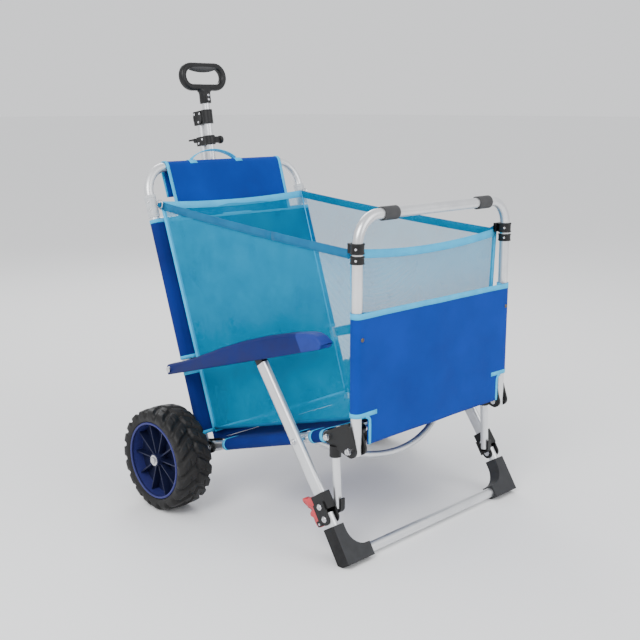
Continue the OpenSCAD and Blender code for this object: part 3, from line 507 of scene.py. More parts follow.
tyre_profile = []
for k in range(-17, 18):
    w = tread_half * k / 17
    tyre_profile.append((tyre_r - crown * (w / tread_half) ** 2, w))
shoulder = [(129.6, 45.2), (126.4, 47.8), (122.5, 49.4), (118, 50), (112.5, 49.8), (107.5, 48.4),
            (103.4, 46.4), (bead_r, 44)]
shoulder = [(r / 135 * tyre_r if r > bead_r else r, w / 50 * half_w) for r, w in shoulder]
tyre_profile = [(r, -w) for r, w in reversed(shoulder)] + tyre_profile + shoulder
for side_name, s in sides:
    rings = []
    turns = lugs * steps_per_lug
    for i in range(turns):
        angle = 2 * math.pi * i / turns
        out = Vector((math.cos(angle), 0, math.sin(angle)))
        ring = []
        for k, (r, w) in enumerate(tyre_profile):
            before, after = tyre_profile[max(k - 1, 0)], tyre_profile[min(k + 1, len(tyre_profile) - 1)]
            run = Vector((after[0] - before[0], after[1] - before[1])).normalized()
            normal = (run.y, -run.x)
            deep = groove_depth * plateau(r, 113, 400, 12)
            sink = deep * (1 - lug_height(i / steps_per_lug, w / tread_half))
            r_here, w_here = r - normal[0] * sink, w - normal[1] * sink
            ring.append(Vector(axle_at) + (out * r_here + Vector((0, s * (tyre_mid + w_here), 0))) / 1000)
        rings.append(ring if s < 0 else list(reversed(ring)))
    tyre = loft(f"lugged_tyre_{side_name}", rings, tyre_rubber, f"wheel_{side_name}", "tyre", round_path=True)
    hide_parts(f"tyre_{side_name}")

# ---- Hubs and axle nuts ----
# Navy polypropylene hubs, moulded in one with ten thin ribs and a rolled rim whose lip
# is coloured a lighter violet; a zinc washer, nut and split pin hold each on its axle.
hub_navy = finish("hub_navy", (0.004, 0.006, 0.026), 0.42, Specular_IOR_Level=0.25)
everywhere = place_in(hub_navy)
from_axle = add(hub_navy, "ShaderNodeVectorMath", operation="SUBTRACT")
from_axle.inputs[1].default_value = (axle_at[0], 0, axle_at[2])
join(hub_navy, everywhere, from_axle.inputs[0])
flatten = add(hub_navy, "ShaderNodeVectorMath", operation="MULTIPLY")
flatten.inputs[1].default_value = (1, 0, 1)
join(hub_navy, from_axle.outputs["Vector"], flatten.inputs[0])
radius_here = add(hub_navy, "ShaderNodeVectorMath", operation="LENGTH")
join(hub_navy, flatten.outputs["Vector"], radius_here.inputs[0])
on_lip = spread(hub_navy, radius_here.outputs["Value"], 0, 1, 0.093, 0.0965)
hub_drift = speckle(hub_navy, everywhere, 30, 4)
rib_navy = blend_colours(hub_navy, hub_drift, [(0.3, (0.006, 0.008, 0.03)), (0.7, (0.011, 0.014, 0.05))])
two_tone(hub_navy, on_lip, rib_navy, (0.03, 0.034, 0.16))
join(hub_navy, spread(hub_navy, hub_drift, 0.34, 0.55), shader_of(hub_navy).inputs["Roughness"])
relief(hub_navy, speckle(hub_navy, everywhere, 800, 2), 0.00012, 0.35)
hub_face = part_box("hub_left")[1].y
hub_lip_r = 98.6
washer_outline = [(0.014, 0), (0.014, 0.0012), (0.0132, 0.0018), (0.008, 0.0018)]
nut_outline = [(0.0088, 0), (0.0092, 0.0008), (0.0092, 0.0038), (0.008, 0.0046), (0.0048, 0.0047)]
stub_outline = [(0.0046, 0), (0.0046, 0.0018), (0.0036, 0.0025), (0, 0.0026)]
for side_name, s in sides:
    coat(f"hub_{side_name}", hub_navy)
    soften(frame["nodes"][f"hub_{side_name}"], 0.0008)
    outward = Vector((0, s, 0))
    face = Vector((axle_at[0], s * hub_face, axle_at[2]))
    across, up = square_to(outward)
    lip = []
    for k in range(96):
        a = 2 * math.pi * k / 96
        out = across * math.cos(a) + up * math.sin(a)
        lip.append([face + out * (hub_lip_r + dr) / 1000 + outward * dw / 1000
                    for dr, dw in [(-3.6, -4), (-3.8, 0.2), (-2.4, 1.6), (0.8, 1.8), (2.2, 0.8), (2.4, -4)]])
    loft(f"rim_lip_{side_name}", lip, hub_navy, f"wheel_{side_name}", "hub_plastic", round_path=True)
    cap_low, cap_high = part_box(f"axle_cap_{side_name}")
    cap_at = Vector((axle_at[0], s * min(abs(cap_low.y), abs(cap_high.y)), axle_at[2]))
    washer = turned(cap_at, outward, washer_outline, 40)
    nut = turned(cap_at + outward * 0.0015, outward, nut_outline, 6)
    stub = turned(cap_at + outward * 0.0055, outward, stub_outline)
    cap_pieces = [washer, nut, stub]
    cap = gather(f"axle_nut_{side_name}", cap_pieces, bright_steel, f"wheel_{side_name}", False)
    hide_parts(f"axle_cap_{side_name}")

# ---- Armrests ----
# Long hollow polypropylene armrests, crowned on top and open below where the leg's pin
# slides; the front end is coloured a lighter blue than the navy body.
arm_blue = finish("arm_blue", (0.005, 0.013, 0.1), 0.5, Specular_IOR_Level=0.16)
everywhere = place_in(arm_blue)
arm_along = add(arm_blue, "ShaderNodeVectorMath", operation="DOT_PRODUCT")
slant = math.radians(arm_slope + 12)
arm_along.inputs[1].default_value = (math.cos(slant), 0, math.sin(slant))
join(arm_blue, everywhere, arm_along.inputs[0])
patch_starts = Vector(in_arm(513, 0, 10)).dot(Vector((math.cos(slant), 0, math.sin(slant))))
# the armrest is mixed to a lighter blue from 513 mm along it to the front end
on_patch = spread(arm_blue, arm_along.outputs["Value"], 0, 1, patch_starts, patch_starts + 0.001)
arm_drift = speckle(arm_blue, everywhere, 22, 4)
body_blue = blend_colours(arm_blue, arm_drift, [(0.3, (0.004, 0.01, 0.09)), (0.7, (0.006, 0.015, 0.125))])
lighter_tip_blue = blend_colours(arm_blue, arm_drift, [(0.3, (0.014, 0.032, 0.21)), (0.7, (0.02, 0.045, 0.27))])
two_tone(arm_blue, on_patch, body_blue, lighter_tip_blue)
join(arm_blue, spread(arm_blue, arm_drift, 0.38, 0.55), shader_of(arm_blue).inputs["Roughness"])
relief(arm_blue, speckle(arm_blue, everywhere, 850, 2), 0.00015, 0.4)
arm_low = -14
arm_tops = [(-15, 10), (-11, 13.5), (20, 14), (46, 14.2), (96, 17), (166, 24.5), (236, 32), (316, 37),
            (396, 38),
            (476, 35), (536, 29.5), (560, 24), (574, 16), (582, 6), (586, -5)]
slot_from, slot_to = 318, 558
channel_half = 13.5
arm_half_w = 21
arm_middle = 317


def along_line(points, x):
    """Height of a smooth line through the points at x."""
    for (x0, y0), (x1, y1) in zip(points, points[1:]):
        if x <= x1:
            share = max(0.0, (x - x0) / (x1 - x0))
            share = share * share * (3 - 2 * share) * 0.5 + share * 0.5
            return y0 + (y1 - y0) * share
    return points[-1][1]


def arm_ring(u, s, middle):
    top = along_line(arm_tops, u)
    end = min(1.0, (u + 15) / 9 + 0.55, (586 - u) / 22 + 0.62)
    half = arm_half_w * math.sin(math.pi / 2 * min(1.0, end)) ** 0.5
    low = arm_low + max(0.0, 10 * (u - 576) / 10)
    ceiling = low + 0.4 + (15.6 - low) * plateau(u, slot_from, slot_to, 2)
    round_r = min(9.0, (top - low) / 2.2)
    edge = min(3.0, round_r)
    ring = [(channel_half, low), (channel_half, ceiling), (-channel_half, ceiling), (-channel_half, low)]
    rise = [(half - edge, low), (half - edge * 0.3, low + edge * 0.3), (half, low + edge)]
    for k in range(7):
        a = math.pi / 2 * k / 6
        rise.append((half - round_r * (1 - math.cos(a)), top - (round_r + 1.6) * (1 - math.sin(a))))
    crest = [(k / 3 * (half - round_r), top + 1.2 * (1 - (k / 3) ** 2) - 0.6) for k in range(-2, 3)]
    ring += [(-y, v) for y, v in rise] + crest + list(reversed(rise))
    return [in_arm(u, s * middle + y, v) for y, v in ring]


arm_stations = [-15, -14, -11, -5] + list(range(5, 315, 15))
arm_stations += [315, 317.5, 319, 321] + list(range(330, 555, 15))
arm_stations += [555, 557, 558.5, 560, 566, 571, 575, 578, 580.5, 582.5, 584, 585, 586]
for side_name, s in sides:
    rest = loft(f"crowned_armrest_{side_name}", [arm_ring(u, s, arm_middle) for u in arm_stations], arm_blue,
                f"armrest_{side_name}", "armrest_plastic")
    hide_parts(f"armrest_{side_name}")

# ---- Leg rest panel ----
# Royal blue Oxford cloth, sewn into a sleeve round each upright and pulled flat between
# them, cut back at the lower corners to clear the hinges and bound in turquoise tape.
def weave(material, vector, directions, pitch, **how):
    """Crossed bands, high where two threads cross; a wave of scale 1 repeats at 0.314 m."""
    crossing = add(material, "ShaderNodeMath", operation="MULTIPLY")
    for direction, socket in zip(directions, crossing.inputs):
        wave = add(material, "ShaderNodeTexWave", bands_direction=direction, Scale=0.314 / pitch, **how)
        join(material, vector, wave.inputs["Vector"])
        join(material, wave.outputs["Fac"], socket)
    return crossing.outputs["Value"]


def oxford(name, dark, light, lean=0.0, pitch=0.0016):
    material = finish(name, light, 0.82, Sheen_Weight=0.02, Specular_IOR_Level=0.12)
    everywhere = place_in(material)
    drifting(material, everywhere, 7, dark, light, 0.74, 0.9)
    lying = place_in(material, turn=(0, math.radians(lean), 0))
    woven = weave(material, lying, "YZ", pitch, Distortion=0.6, Detail_Scale=3.0)
    relief(material, woven, 0.00025, 0.45)
    relief(material, speckle(material, everywhere, 14, 5, 0.6), 0.004, 0.22)
    return material


def webbing(name, dark, light, pitch=0.0022):
    """Narrow tape: ribs run along it, and their rows are packed across it."""
    material = finish(name, light, 0.7, Sheen_Weight=0.03, Specular_IOR_Level=0.2)
    everywhere = place_in(material)
    drifting(material, everywhere, 26, dark, light, 0.62, 0.8)
    rib = add(material, "ShaderNodeTexWave", bands_direction="X", Scale=0.314 / pitch, Distortion=0.4)
    join(material, place_in(material, by="UV"), rib.inputs["Vector"])
    relief(material, rib.outputs["Fac"], 0.0003, 0.5)
    relief(material, speckle(material, everywhere, 600, 2), 0.0002, 0.3)
    return material


royal_cloth = oxford("royal_cloth", (0.003, 0.032, 0.24), (0.006, 0.046, 0.33))
turquoise_tape = webbing("turquoise_tape", (0.02, 0.4, 0.72), (0.04, 0.5, 0.84))
tube_half = 278
cloth_r = 14.2


def sleeve_path(out=0.0, columns=30, tuck=38, marks=()):
    """The sewn section of a sling: round the right tube, across the web, round the left."""
    r = cloth_r + out
    arc = [25 - 295 * k / 18 for k in range(19)]
    wrap = [(-tube_half + r * math.cos(math.radians(a)), r * math.sin(math.radians(a))) for a in arc]
    wrap = [(-tube_half + tuck, r - 1.7 - 2 * out), (-tube_half + tuck - 12, r - 2.6 - 2 * out)] + wrap
    even = {round(-tube_half + 2 * tube_half * k / columns, 2) for k in range(1, columns)}
    inner = sorted(even | set(marks))
    web = [(y, r) for y in inner]
    return wrap + web + [(-y, n) for y, n in reversed(wrap)]


def ripple(p, size=0.9):
    return size * (noise.noise(p * 9) + 0.5 * noise.noise(p * 23 + Vector((4, 1, 7))))


def thicken(piece, thick):
    thickness = piece.modifiers.new("cloth_thickness", "SOLIDIFY")
    thickness.thickness = thick / 1000
    thickness.offset = 0

def sling(name, place, path, rows, material, body, skip=None, thick=0.9, sag=2.0, wrinkles=0.9):
    points, faces = [], []
    for t in rows:
        for y, n in path:
            p = place(y, n, t)
            flat = plateau(abs(y), -1, tube_half - 18, 60) if n > 10 else 0
            pull = -sag * flat - ripple(p, wrinkles) * flat
            points.append(place(y, n + pull, t))
    count = len(path)
    for i in range(len(rows) - 1):
        for k in range(count - 1):
            y, t = (path[k][0] + path[k + 1][0]) / 2, (rows[i] + rows[i + 1]) / 2
            if skip and skip(y, t):
                continue
            a = i * count + k
            faces.append((a, a + 1, a + count + 1, a + count))
    used = sorted({i for face in faces for i in face})
    fresh = {old: new for new, old in enumerate(used)}
    faces = [tuple(fresh[i] for i in face) for face in faces]
    along = [0.0]
    for (y0, n0), (y1, n1) in zip(path, path[1:]):
        along.append(along[-1] + math.hypot(y1 - y0, n1 - n0) / 1000)
    uvs = [(along[i % count], rows[i // count] / 1000) for i in used]
    piece = mesh_piece(name, [points[i] for i in used], faces, material, body, uvs=uvs)
    thicken(piece, thick)
    return piece


def sheet_sizes(path, rows):
    width = sum(math.hypot(b[0] - a[0], b[1] - a[1]) for a, b in zip(path, path[1:])) / 1000
    return width, (rows[-1] - rows[0]) / 1000


def evenly(start, end, count, marks=()):
    return sorted({round(start + (end - start) * k / count, 3) for k in range(count + 1)} | set(marks))


def part_of(path, keep):
    return [p for p in path if keep(p[0])]


def ribbon(points, across, width, thick=1.2):
    """A flat strap along a line of points; across is the direction of its width."""
    rings = []
    for k, p in enumerate(points):
        run = (points[min(k + 1, len(points) - 1)] - points[max(k - 1, 0)]).normalized()
        side = across[k] if isinstance(across, list) else across
        side = (side - run * side.dot(run)).normalized()
        face = run.cross(side).normalized()
        w, h = width / 2000, thick / 2000
        section = [(-w, 0), (-w * 0.94, -h), (0, -h * 1.1), (w * 0.94, -h), (w, 0), (w * 0.94, h),
                   (0, h * 1.1),
                   (-w * 0.94, h)]
        rings.append([p + side * a + face * b for a, b in section])
    return loft_data(rings)


def stitches(points, normal, length=3.4, space=1.8, radius=0.45):
    """A run of sewn stitches laid just proud of the cloth along a line of points."""
    parts = []
    carried = 0.0
    step = (length + space) / 1000
    for a, b in zip(points, points[1:]):
        run = b - a
        reach = run.length
        run = run / max(reach, 1e-9)
        side = run.cross(normal).normalized()
        while carried + length / 1000 < reach:
            start, end = a + run * carried, a + run * (carried + length / 1000)
            rings = []
            for at, wide in [(start, 0.4), (start.lerp(end, 0.3), 1), (start.lerp(end, 0.7), 1), (end, 0.4)]:
                r = radius * wide / 1000
                rings.append([at + side * r, at + normal * r, at - side * r, at - normal * r])
            parts.append(loft_data(rings))
            carried += step
        carried = max(0.0, carried - reach)
    return parts


thread_navy = finish("thread_navy", (0.012, 0.05, 0.26), 0.6)
relief(thread_navy, speckle(thread_navy, place_in(thread_navy), 2500, 2), 0.0001, 0.4)


def rest_at(y, n, t):
    return in_rest(n, y, t)


def hem(name, place, path, rows, body):
    return sling(name, place, path, rows, turquoise_tape, body, thick=0.8)

panel_low, panel_high, sleeve_low = 8.5, 316.5, 77
notch_y = 250
hem_w = 13
seam_y = 240


def panel_notch(y, t):
    return t < sleeve_low and abs(y) > notch_y


rest_path = sleeve_path(marks=(-notch_y, notch_y, -seam_y, seam_y))
rest_rows = evenly(panel_low, panel_high, 34, [sleeve_low])
panel = sling("leg_rest_panel", rest_at, rest_path, rest_rows, royal_cloth, "legrest",
              panel_notch)
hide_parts("rest_panel")
wide, tall = sheet_sizes(rest_path, rest_rows)
hem_path = sleeve_path(0.75, marks=(-notch_y, notch_y))
top_rows = [panel_high - hem_w, panel_high - hem_w / 2, panel_high + 0.6]
top_hem = hem("leg_rest_top_hem", rest_at, hem_path, top_rows, "legrest")
notch_rows = [sleeve_low - 0.6, sleeve_low + 5, sleeve_low + 10]
for side_name, s in sides:
    outside = part_of(hem_path, lambda y: s * y > notch_y - 38)
    hem(f"leg_rest_notch_hem_{side_name}", rest_at, outside, notch_rows, "legrest")
corner_r = 15
corner_turns = (0.3, 0.7, 1.1, 1.5)
tape_y = notch_y - 3
corner_tapes = []
for side_name, s in sides:
    run = [in_rest(cloth_r + 0.4, s * tape_y, panel_low + k * 9) for k in range(6)]
    across = [Vector((0, 1, 0))] * 6
    for a in corner_turns:
        y, t = tape_y + corner_r * (1 - math.cos(a)), sleeve_low - corner_r + corner_r * math.sin(a)
        run.append(in_rest(cloth_r + 0.4, s * y, t))
        across.append(Vector((0, math.cos(a), -s * math.sin(a))))
    corner_tapes.append(ribbon(run, across, 8, 1.6))
corner_tape = gather("leg_rest_corner_tapes", corner_tapes, turquoise_tape, "legrest")
panel_stitching = []
for y in (-seam_y, 6 - seam_y, seam_y - 6, seam_y):
    seam_ends = [in_rest(cloth_r - 1.7, y, t) for t in (panel_low + 4, panel_high - hem_w)]
    panel_stitching += stitches(seam_ends, Vector((1, 0, 0)))
panel_seams = gather("leg_rest_seams", panel_stitching, thread_navy, "legrest")
stud_outline = [(0.0052, 0), (0.0052, 0.0008), (0.0046, 0.0014), (0.0034, 0.0016), (0.0032, 0.0026),
                (0.002, 0.003), (0, 0.0031)]
stud_y, stud_t = 275, 257
stud_places = [in_rest(cloth_r + 0.5, s * stud_y, stud_t) for s in (1, -1)]
studs = [turned(at, Vector((1, 0, 0)), stud_outline, 20) for at in stud_places]
dark_bronze = finish("dark_bronze", (0.12, 0.1, 0.08), 0.35, Metallic=0.9)
drifting(dark_bronze, place_in(dark_bronze), 300, (0.09, 0.075, 0.06), (0.16, 0.13, 0.1), 0.28, 0.45)
snaps = gather("press_snaps", studs, dark_bronze, "legrest")
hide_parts("panel_snaps")

# ---- Back sling and seat sling ----
# Navy Oxford cloth slings, sleeved over the back and seat tubes, with openings in the
# sleeves at the bolts, hemmed in the same tape; the web runs on toward the hinge.
navy_cloth = oxford("navy_cloth", (0.003, 0.014, 0.12), (0.006, 0.022, 0.18), -back_lean)


def back_at(y, n, t):
    return in_back(n, y, t)


def seat_at(y, n, s):
    return in_seat(s, y, n)


web_half = 256


def hemmed_sling(name, place, rows, body, openings, node, hems):
    marks = (-web_half, web_half)
    path = sleeve_path(marks=marks)

    def opened(y, t):
        return abs(y) > web_half and any(a < t < b for a, b in openings)

    piece = sling(name, place, path, rows, navy_cloth, body, opened)
    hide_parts(node)
    width, length = sheet_sizes(path, rows)
    taped = sleeve_path(0.75, marks=marks)
    for k, t in enumerate(hems):
        hem(f"{name}_hem_{k + 1}", place, taped, [t - 5, t, t + 5], body)
    for k, (a, b) in enumerate(openings):
        for end, t0, t1 in [("low", a - 9, a + 0.6), ("high", b - 0.6, b + 9)]:
            if t0 < rows[0]:
                continue
            for s, label in [(1, "left"), (-1, "right")]:
                round_tube = part_of(taped, lambda y: s * y > seam_y)
                opening_rows = [t0, (t0 + t1) / 2, t1]
                trim_name = f"{name}_opening_{k + 1}_{end}_{label}"
                hem(trim_name, place, round_tube, opening_rows, body)
    above = (place(0, 20, 0) - place(0, 0, 0)).normalized()
    seam_starts = [rows[0] + 8, *[b for a, b in openings]]
    seam_stops = [*[a for a, b in openings], rows[-1] - 8]
    seams = []
    for y in (-seam_y, seam_y):
        for t0, t1 in zip(seam_starts, seam_stops):
            if t1 >= t0:
                seams += stitches([place(y, cloth_r - 1.7, t0), place(y, cloth_r - 1.7, t1)], above)
    seam = gather(f"{name}_seams", seams, thread_navy, body)


hemmed_sling("back_rest_sling", back_at, evenly(12, 623.5, 48, [34.5, 207, 241]), "backrest",
             [(11, 34.5), (207, 241)], "back_sling", [619])
hemmed_sling("seat_bottom_sling", seat_at, evenly(24, 476, 40, [92.5, 384, 428]), "chassis",
             [(23, 92.5), (384, 428)], "seat_sling", [471])

# ---- Headrest and carry strap ----
# A royal blue panel folded over the top bar, long in front and short behind, piped down
# both sides, with a loop of turquoise webbing sewn to its top fold for carrying.
head_half = 209
head_drop, rear_drop = 148, 82
bar_t = 768


def over_bar(out=0.0, columns=12):
    """Forward and up along the fold: front hem, over the bar, down to the rear hem."""
    r = cloth_r + out
    front = [(r, bar_t - head_drop + (head_drop - 6) * k / columns) for k in range(columns + 1)]
    top = [(r * math.cos(math.radians(a)), bar_t + r * math.sin(math.radians(a))) for a in range(0, 181, 15)]
    rear = [(-r, bar_t - 6 - (rear_drop - 6) * k / 6) for k in range(7)]
    return front + top + rear


def grid_faces(rows, columns):
    """The quads between points that lie row after row."""
    starts = [i * columns + k for i in range(rows - 1) for k in range(columns - 1)]
    return [(a, a + 1, a + columns + 1, a + columns) for a in starts]


fold = over_bar()
head_columns = evenly(-head_half, head_half, 28)
points = []
for n, t in fold:
    for y in head_columns:
        p = in_back(n, y, t)
        slack = plateau(abs(bar_t - t), 14, 900, 60) * plateau(abs(y), -1, head_half, 40)
        waist = 2.5 * plateau(bar_t - t, 10, 900, 120) * (y / head_half) ** 3
        points.append(in_back(n - math.copysign(1.2 * slack + ripple(p, 1.1) * slack, n), y - waist, t))
faces = grid_faces(len(fold), len(head_columns))
head_panel = mesh_piece("headrest_panel", points, faces, royal_cloth, "backrest")
thicken(head_panel, 1)
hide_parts("headrest")
piping = []
for s in (1, -1):
    outer = over_bar(0.6)
    rim = [in_back(n, s * (head_half - 2 - 2.5 * plateau(bar_t - t, 10, 900, 120)), t) for n, t in outer]
    piping.append(ribbon(rim, Vector((0, 1, 0)), 10, 2.2))
head_piping = gather("headrest_piping", piping, turquoise_tape, "backrest")
hem_ends = [in_back(cloth_r - 0.4, y, bar_t - head_drop + 8) for y in (8 - head_half, head_half - 8)]
head_hem = gather("headrest_hem_seam", stitches(hem_ends, in_back.forward), thread_navy, "backrest")
fold_length = sum(math.hypot(b[0] - a[0], b[1] - a[1]) for a, b in zip(fold, fold[1:])) / 1000

strap_low, strap_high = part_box("carry_strap")
strap_mid = (strap_low.y + strap_high.y) * 500
strap_half = (strap_high.y - strap_low.y) * 500 - 2
strap_rise = 26
strap_line = []
for k in range(-16, 17):
    share = k / 16
    lift = (1 - share * share) ** 0.8 * strap_rise
    strap_line.append(in_back(0, strap_mid + share * strap_half, bar_t + cloth_r + 2.2 + lift))
strap = ribbon(strap_line, in_back.forward, 19, 2.0)
tab_r = cloth_r + 1.5
tab_turns = [math.radians(a) for a in range(10, 171, 16)]
anchors = []
for s in (1, -1):
    y = strap_mid + s * (strap_half + 4)
    tab = [in_back(tab_r * math.cos(a), y, bar_t + tab_r * math.sin(a)) for a in tab_turns]
    anchors.append(ribbon(tab, Vector((0, 1, 0)), 26, 1.6))
carry = gather("carry_loop", [strap, *anchors], turquoise_tape, "backrest")
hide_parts("carry_strap")

# ---- Clamps and soft sleeves ----
# The back clamps are smoky clear polycarbonate collars drawn up by two screws; the leg
# rest's are black bands with a bar loop. Soft rubber sleeves cover the top bar's ends.
smoky_clamp = grained(
    "smoky_clamp", (0.5, 0.52, 0.54), 0.3, (50, (0.42, 0.44, 0.46), (0.6, 0.62, 0.64), 0.24, 0.42),
    (700, 2, 0.0001, 0.3), Coat_Weight=0.2,
)
soft_rubber = grained(
    "soft_rubber", (0.035, 0.035, 0.037), 0.68, (45, (0.027, 0.027, 0.029), (0.05, 0.05, 0.052), 0.6, 0.8),
    (650, 3, 0.0002, 0.5),
)
for node, material, eased in [
    ("back_clamps", smoky_clamp, (0.0008,)), ("rest_clamps", black_moulding, (0.0008,)),
    ("bar_sleeves", soft_rubber, (0.0012, 3)),
]:
    coat(node, material)
    soften(frame["nodes"][node], *eased)


def band(place, y, t, outline):
    """A ring round a tube of a leaning frame; outline is (height, radius)."""
    rings = [circle(place(0, y, t + up), place.forward, place.left, r / 1000, 40) for up, r in outline]
    return loft_data(rings)


clamp_r = 15.5
clamp_t, clamp_up = 661, 448
back_band = [(-3, clamp_r - 0.6), (-2.4, clamp_r + 0.5), (2.4, clamp_r + 0.5), (3, clamp_r - 0.6)]
rest_aim = Vector((0.5, -0.86, 0))
back_bands, back_screws, rest_bands, rest_screws = [], [], [], []
for side_name, s in sides:
    y = s * tube_half
    back_bands += [band(in_back, y, t, back_band) for t in (clamp_t - 24, clamp_t + 24)]
    back_aim = Vector((0, s, 0)) * 0.9 + in_back.forward * 0.45
    for t in (clamp_t - 10, clamp_t + 12):
        back_screws.append(rivet(in_back(7, s * (tube_half + 13.4), t), back_aim, 0.0038))
    for t0, t1 in ((-22, -18.5), (-7.5, -4), (0, 4), (20, 24)):
        rest_band = [(t0, clamp_r), (t0 + 0.6, clamp_r + 1.1), (t1 - 0.6, clamp_r + 1.1), (t1, clamp_r)]
        rest_bands.append(band(in_rest, y, clamp_up, rest_band))
    for t in (-13, 12):
        at = in_rest(0, y, clamp_up + t) + rest_aim * (clamp_r - 0.3) / 1000
        rest_screws.append(rivet(at, rest_aim, 0.003))
gather("back_clamp_bands", back_bands, smoky_clamp, "backrest")
gather("back_clamp_screws", back_screws, bright_steel, "backrest")
gather("leg_rest_clamp_bands", rest_bands, black_moulding, "legrest")
gather("leg_rest_clamp_screws", rest_screws, bright_steel, "legrest")

# ---- Basket ----
# Open polyester mesh, light turquoise: two ends, two sides and a floor. The sides and the
# floor are each built as two halves, split at x = 235 mm.
basket_mesh = finish("basket_mesh", (0.002, 0.3, 0.52), 0.75, Specular_IOR_Level=0.04)
everywhere = place_in(basket_mesh)
drifting(basket_mesh, everywhere, 11, (0.001, 0.26, 0.47), (0.004, 0.34, 0.58), 0.68, 0.85)
mesh_pitch = 0.0026
knit = weave(basket_mesh, place_in(basket_mesh, by="UV"), "XY", mesh_pitch, Distortion=0.25)
relief(basket_mesh, knit, 0.0003, 0.5)
join(basket_mesh, spread(basket_mesh, knit, 0.56, 0.2, 0.04, 0.86), shader_of(basket_mesh).inputs["Alpha"])
teal_strap = webbing("teal_strap", (0.0005, 0.1, 0.24), (0.002, 0.145, 0.31))
rear_low_x, rear_low_z = -86.4, 184
front_low_x, front_low_z = 421.5, 327
floor_half = 254
split_x = 235
low_split = (split_x - rear_low_x) / (front_low_x - rear_low_x)
floor_slope = (front_low_z - rear_low_z) / (front_low_x - rear_low_x)
corner_places = {
    "rear_low": (rear_low_x, floor_half, rear_low_z),
    "rear_top": (-282.7, 260, 781),
    "front_low": (front_low_x, floor_half, front_low_z),
    "front_top": (424.5, 272, 724),
}
upright = Vector((0, 0, 1))


def corner(which, s):
    x, y, z = corner_places[which]
    return Vector((x, s * y, z)) / 1000


def end_corners(end):
    return [corner(f"{end}_{level}", s) for level in ("low", "top") for s in (-1, 1)]


def side_corners(s):
    return [corner(f"{end}_{level}", s) for level in ("low", "top") for end in ("rear", "front")]


def floor_corner(x, s):
    return Vector((x, s * floor_half, rear_low_z + floor_slope * (x - rear_low_x))) / 1000


def hung_panel(low_a, low_b, top_a, top_b, inward, billow, rim_sag, across=44, up=32, start=0.0, end=1.0):
    """A mesh panel between four corners that billows inward and whose rim sags."""
    points, lays = [], []
    for j in range(up + 1):
        v = j / up
        for i in range(across + 1):
            u = start + (end - start) * i / across
            p = low_a.lerp(low_b, u).lerp(top_a.lerp(top_b, u), v)
            deep = math.sin(math.pi * u) ** 0.7 * math.sin(math.pi * min(1, v * 0.94 + 0.03)) ** 0.8
            p = p + inward * deep * (billow + 3.0 * noise.noise(p * 6) + 1.5 * noise.noise(p * 17)) / 1000
            p = p - Vector((0, 0, rim_sag * 4 * u * (1 - u) * v ** 3 / 1000))
            points.append(p)
            lays.append((u * (low_b - low_a).length, v * (top_a - low_a).length))
    return points, grid_faces(up + 1, across + 1), lays


def follow_back(piece):
    tuple(in_back(30, 0, 300))
    tuple(in_back(300, 0, 300))
    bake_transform(piece)


def follow_rest(piece):
    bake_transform(piece)


def panel_flat(a, b, c, d):
    return ((b - a).length + (d - c).length) / 2, ((c - a).length + (d - b).length) / 2


for end, body, inward, billow, rim_sag, clamps in [
    ("rear", "backrest", in_back.forward, 7, 9, "back_clamps"),
    ("front", "legrest", Vector((-1, 0, 0)), 12, 16, "rest_clamps"),
]:
    end_skin = hung_panel(*end_corners(end), inward, billow, rim_sag)
    end_panel = gather(f"basket_{end}_mesh", [end_skin], basket_mesh, body)
    panel_flat(*end_corners(end))
halves = {"rear": (0.0, low_split, follow_back), "front": (low_split, 1.0, follow_rest)}
for side_name, s in sides:
    low_a, low_b, top_a, top_b = side_corners(s)
    for half_name, (u0, u1, follow) in halves.items():
        side_skin = hung_panel(low_a, low_b, top_a, top_b, Vector((0, -s, 0)), 6, 4, 30, 34, u0, u1)
        panel_name = f"basket_{side_name}_{half_name}_mesh"
        side_panel = gather(panel_name, [side_skin], basket_mesh, None)
        follow(side_panel)
        own_corners = [a.lerp(b, u) for a, b in ((low_a, low_b), (top_a, top_b)) for u in (u0, u1)]
        if half_name == "rear" and s > 0:
            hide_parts("basket_walls")

for half_name, x0, x1, follow in [
    ("rear", rear_low_x, split_x, follow_back), ("front", split_x, front_low_x, follow_rest),
]:
    four = [floor_corner(x, s) for x in (x0, x1) for s in (1, -1)]
    lower_skin = hung_panel(*four, upright, 0, 0, 30, 20)
    lower_panel = gather(f"basket_floor_{half_name}_mesh", [lower_skin], basket_mesh, None)
    follow(lower_panel)
    if half_name == "rear":
        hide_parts("basket_floor")

# ---- Basket bindings and straps ----
# Folded turquoise tape binds the end panels and makes their rims, which dip a little;
# teal webbing binds the low side edges and runs drawn tight along both sides.
def seam_line(a, b, count, sag=0.0):
    shares = [k / count for k in range(count + 1)]
    return [a.lerp(b, u) - upright * sag * 4 * u * (1 - u) / 1000 for u in shares]


rim_drop = 0.009
basket_ends = [
    ("rear", "backrest", in_back.up, 9, in_back.forward * 0.0006, 0.6),
    ("front", "legrest", upright, 16, Vector((0.0012, 0, 0)), -0.6),
]
for end, body, up_way, rim_sag, proud, turn_in in basket_ends:
    low_right, low_left, top_right, top_left = end_corners(end)
    rim = [p - up_way * rim_drop + proud for p in seam_line(top_right, top_left, 30, rim_sag)]
    gather(f"basket_{end}_rim", [ribbon(rim, up_way, 20, 1.8)], turquoise_tape, body)
for end, body, up_way, rim_sag, proud, turn_in in basket_ends:
    low_right, low_left, top_right, top_left = end_corners(end)
    seams = []
    for low, top, s in [(low_left, top_left, 1), (low_right, top_right, -1)]:
        seams.append(ribbon(seam_line(low, top, 20), Vector((turn_in, -s * 0.8, 0)), 11, 1.6))
    seams.append(ribbon(seam_line(low_right, low_left, 16), up_way, 11, 1.6))
    gather(f"basket_{end}_bindings", seams, turquoise_tape, body)


def strap_piece(name, line, across, width, thick, body=None):
    return gather(name, [ribbon(line, across, width, thick)], teal_strap, body)


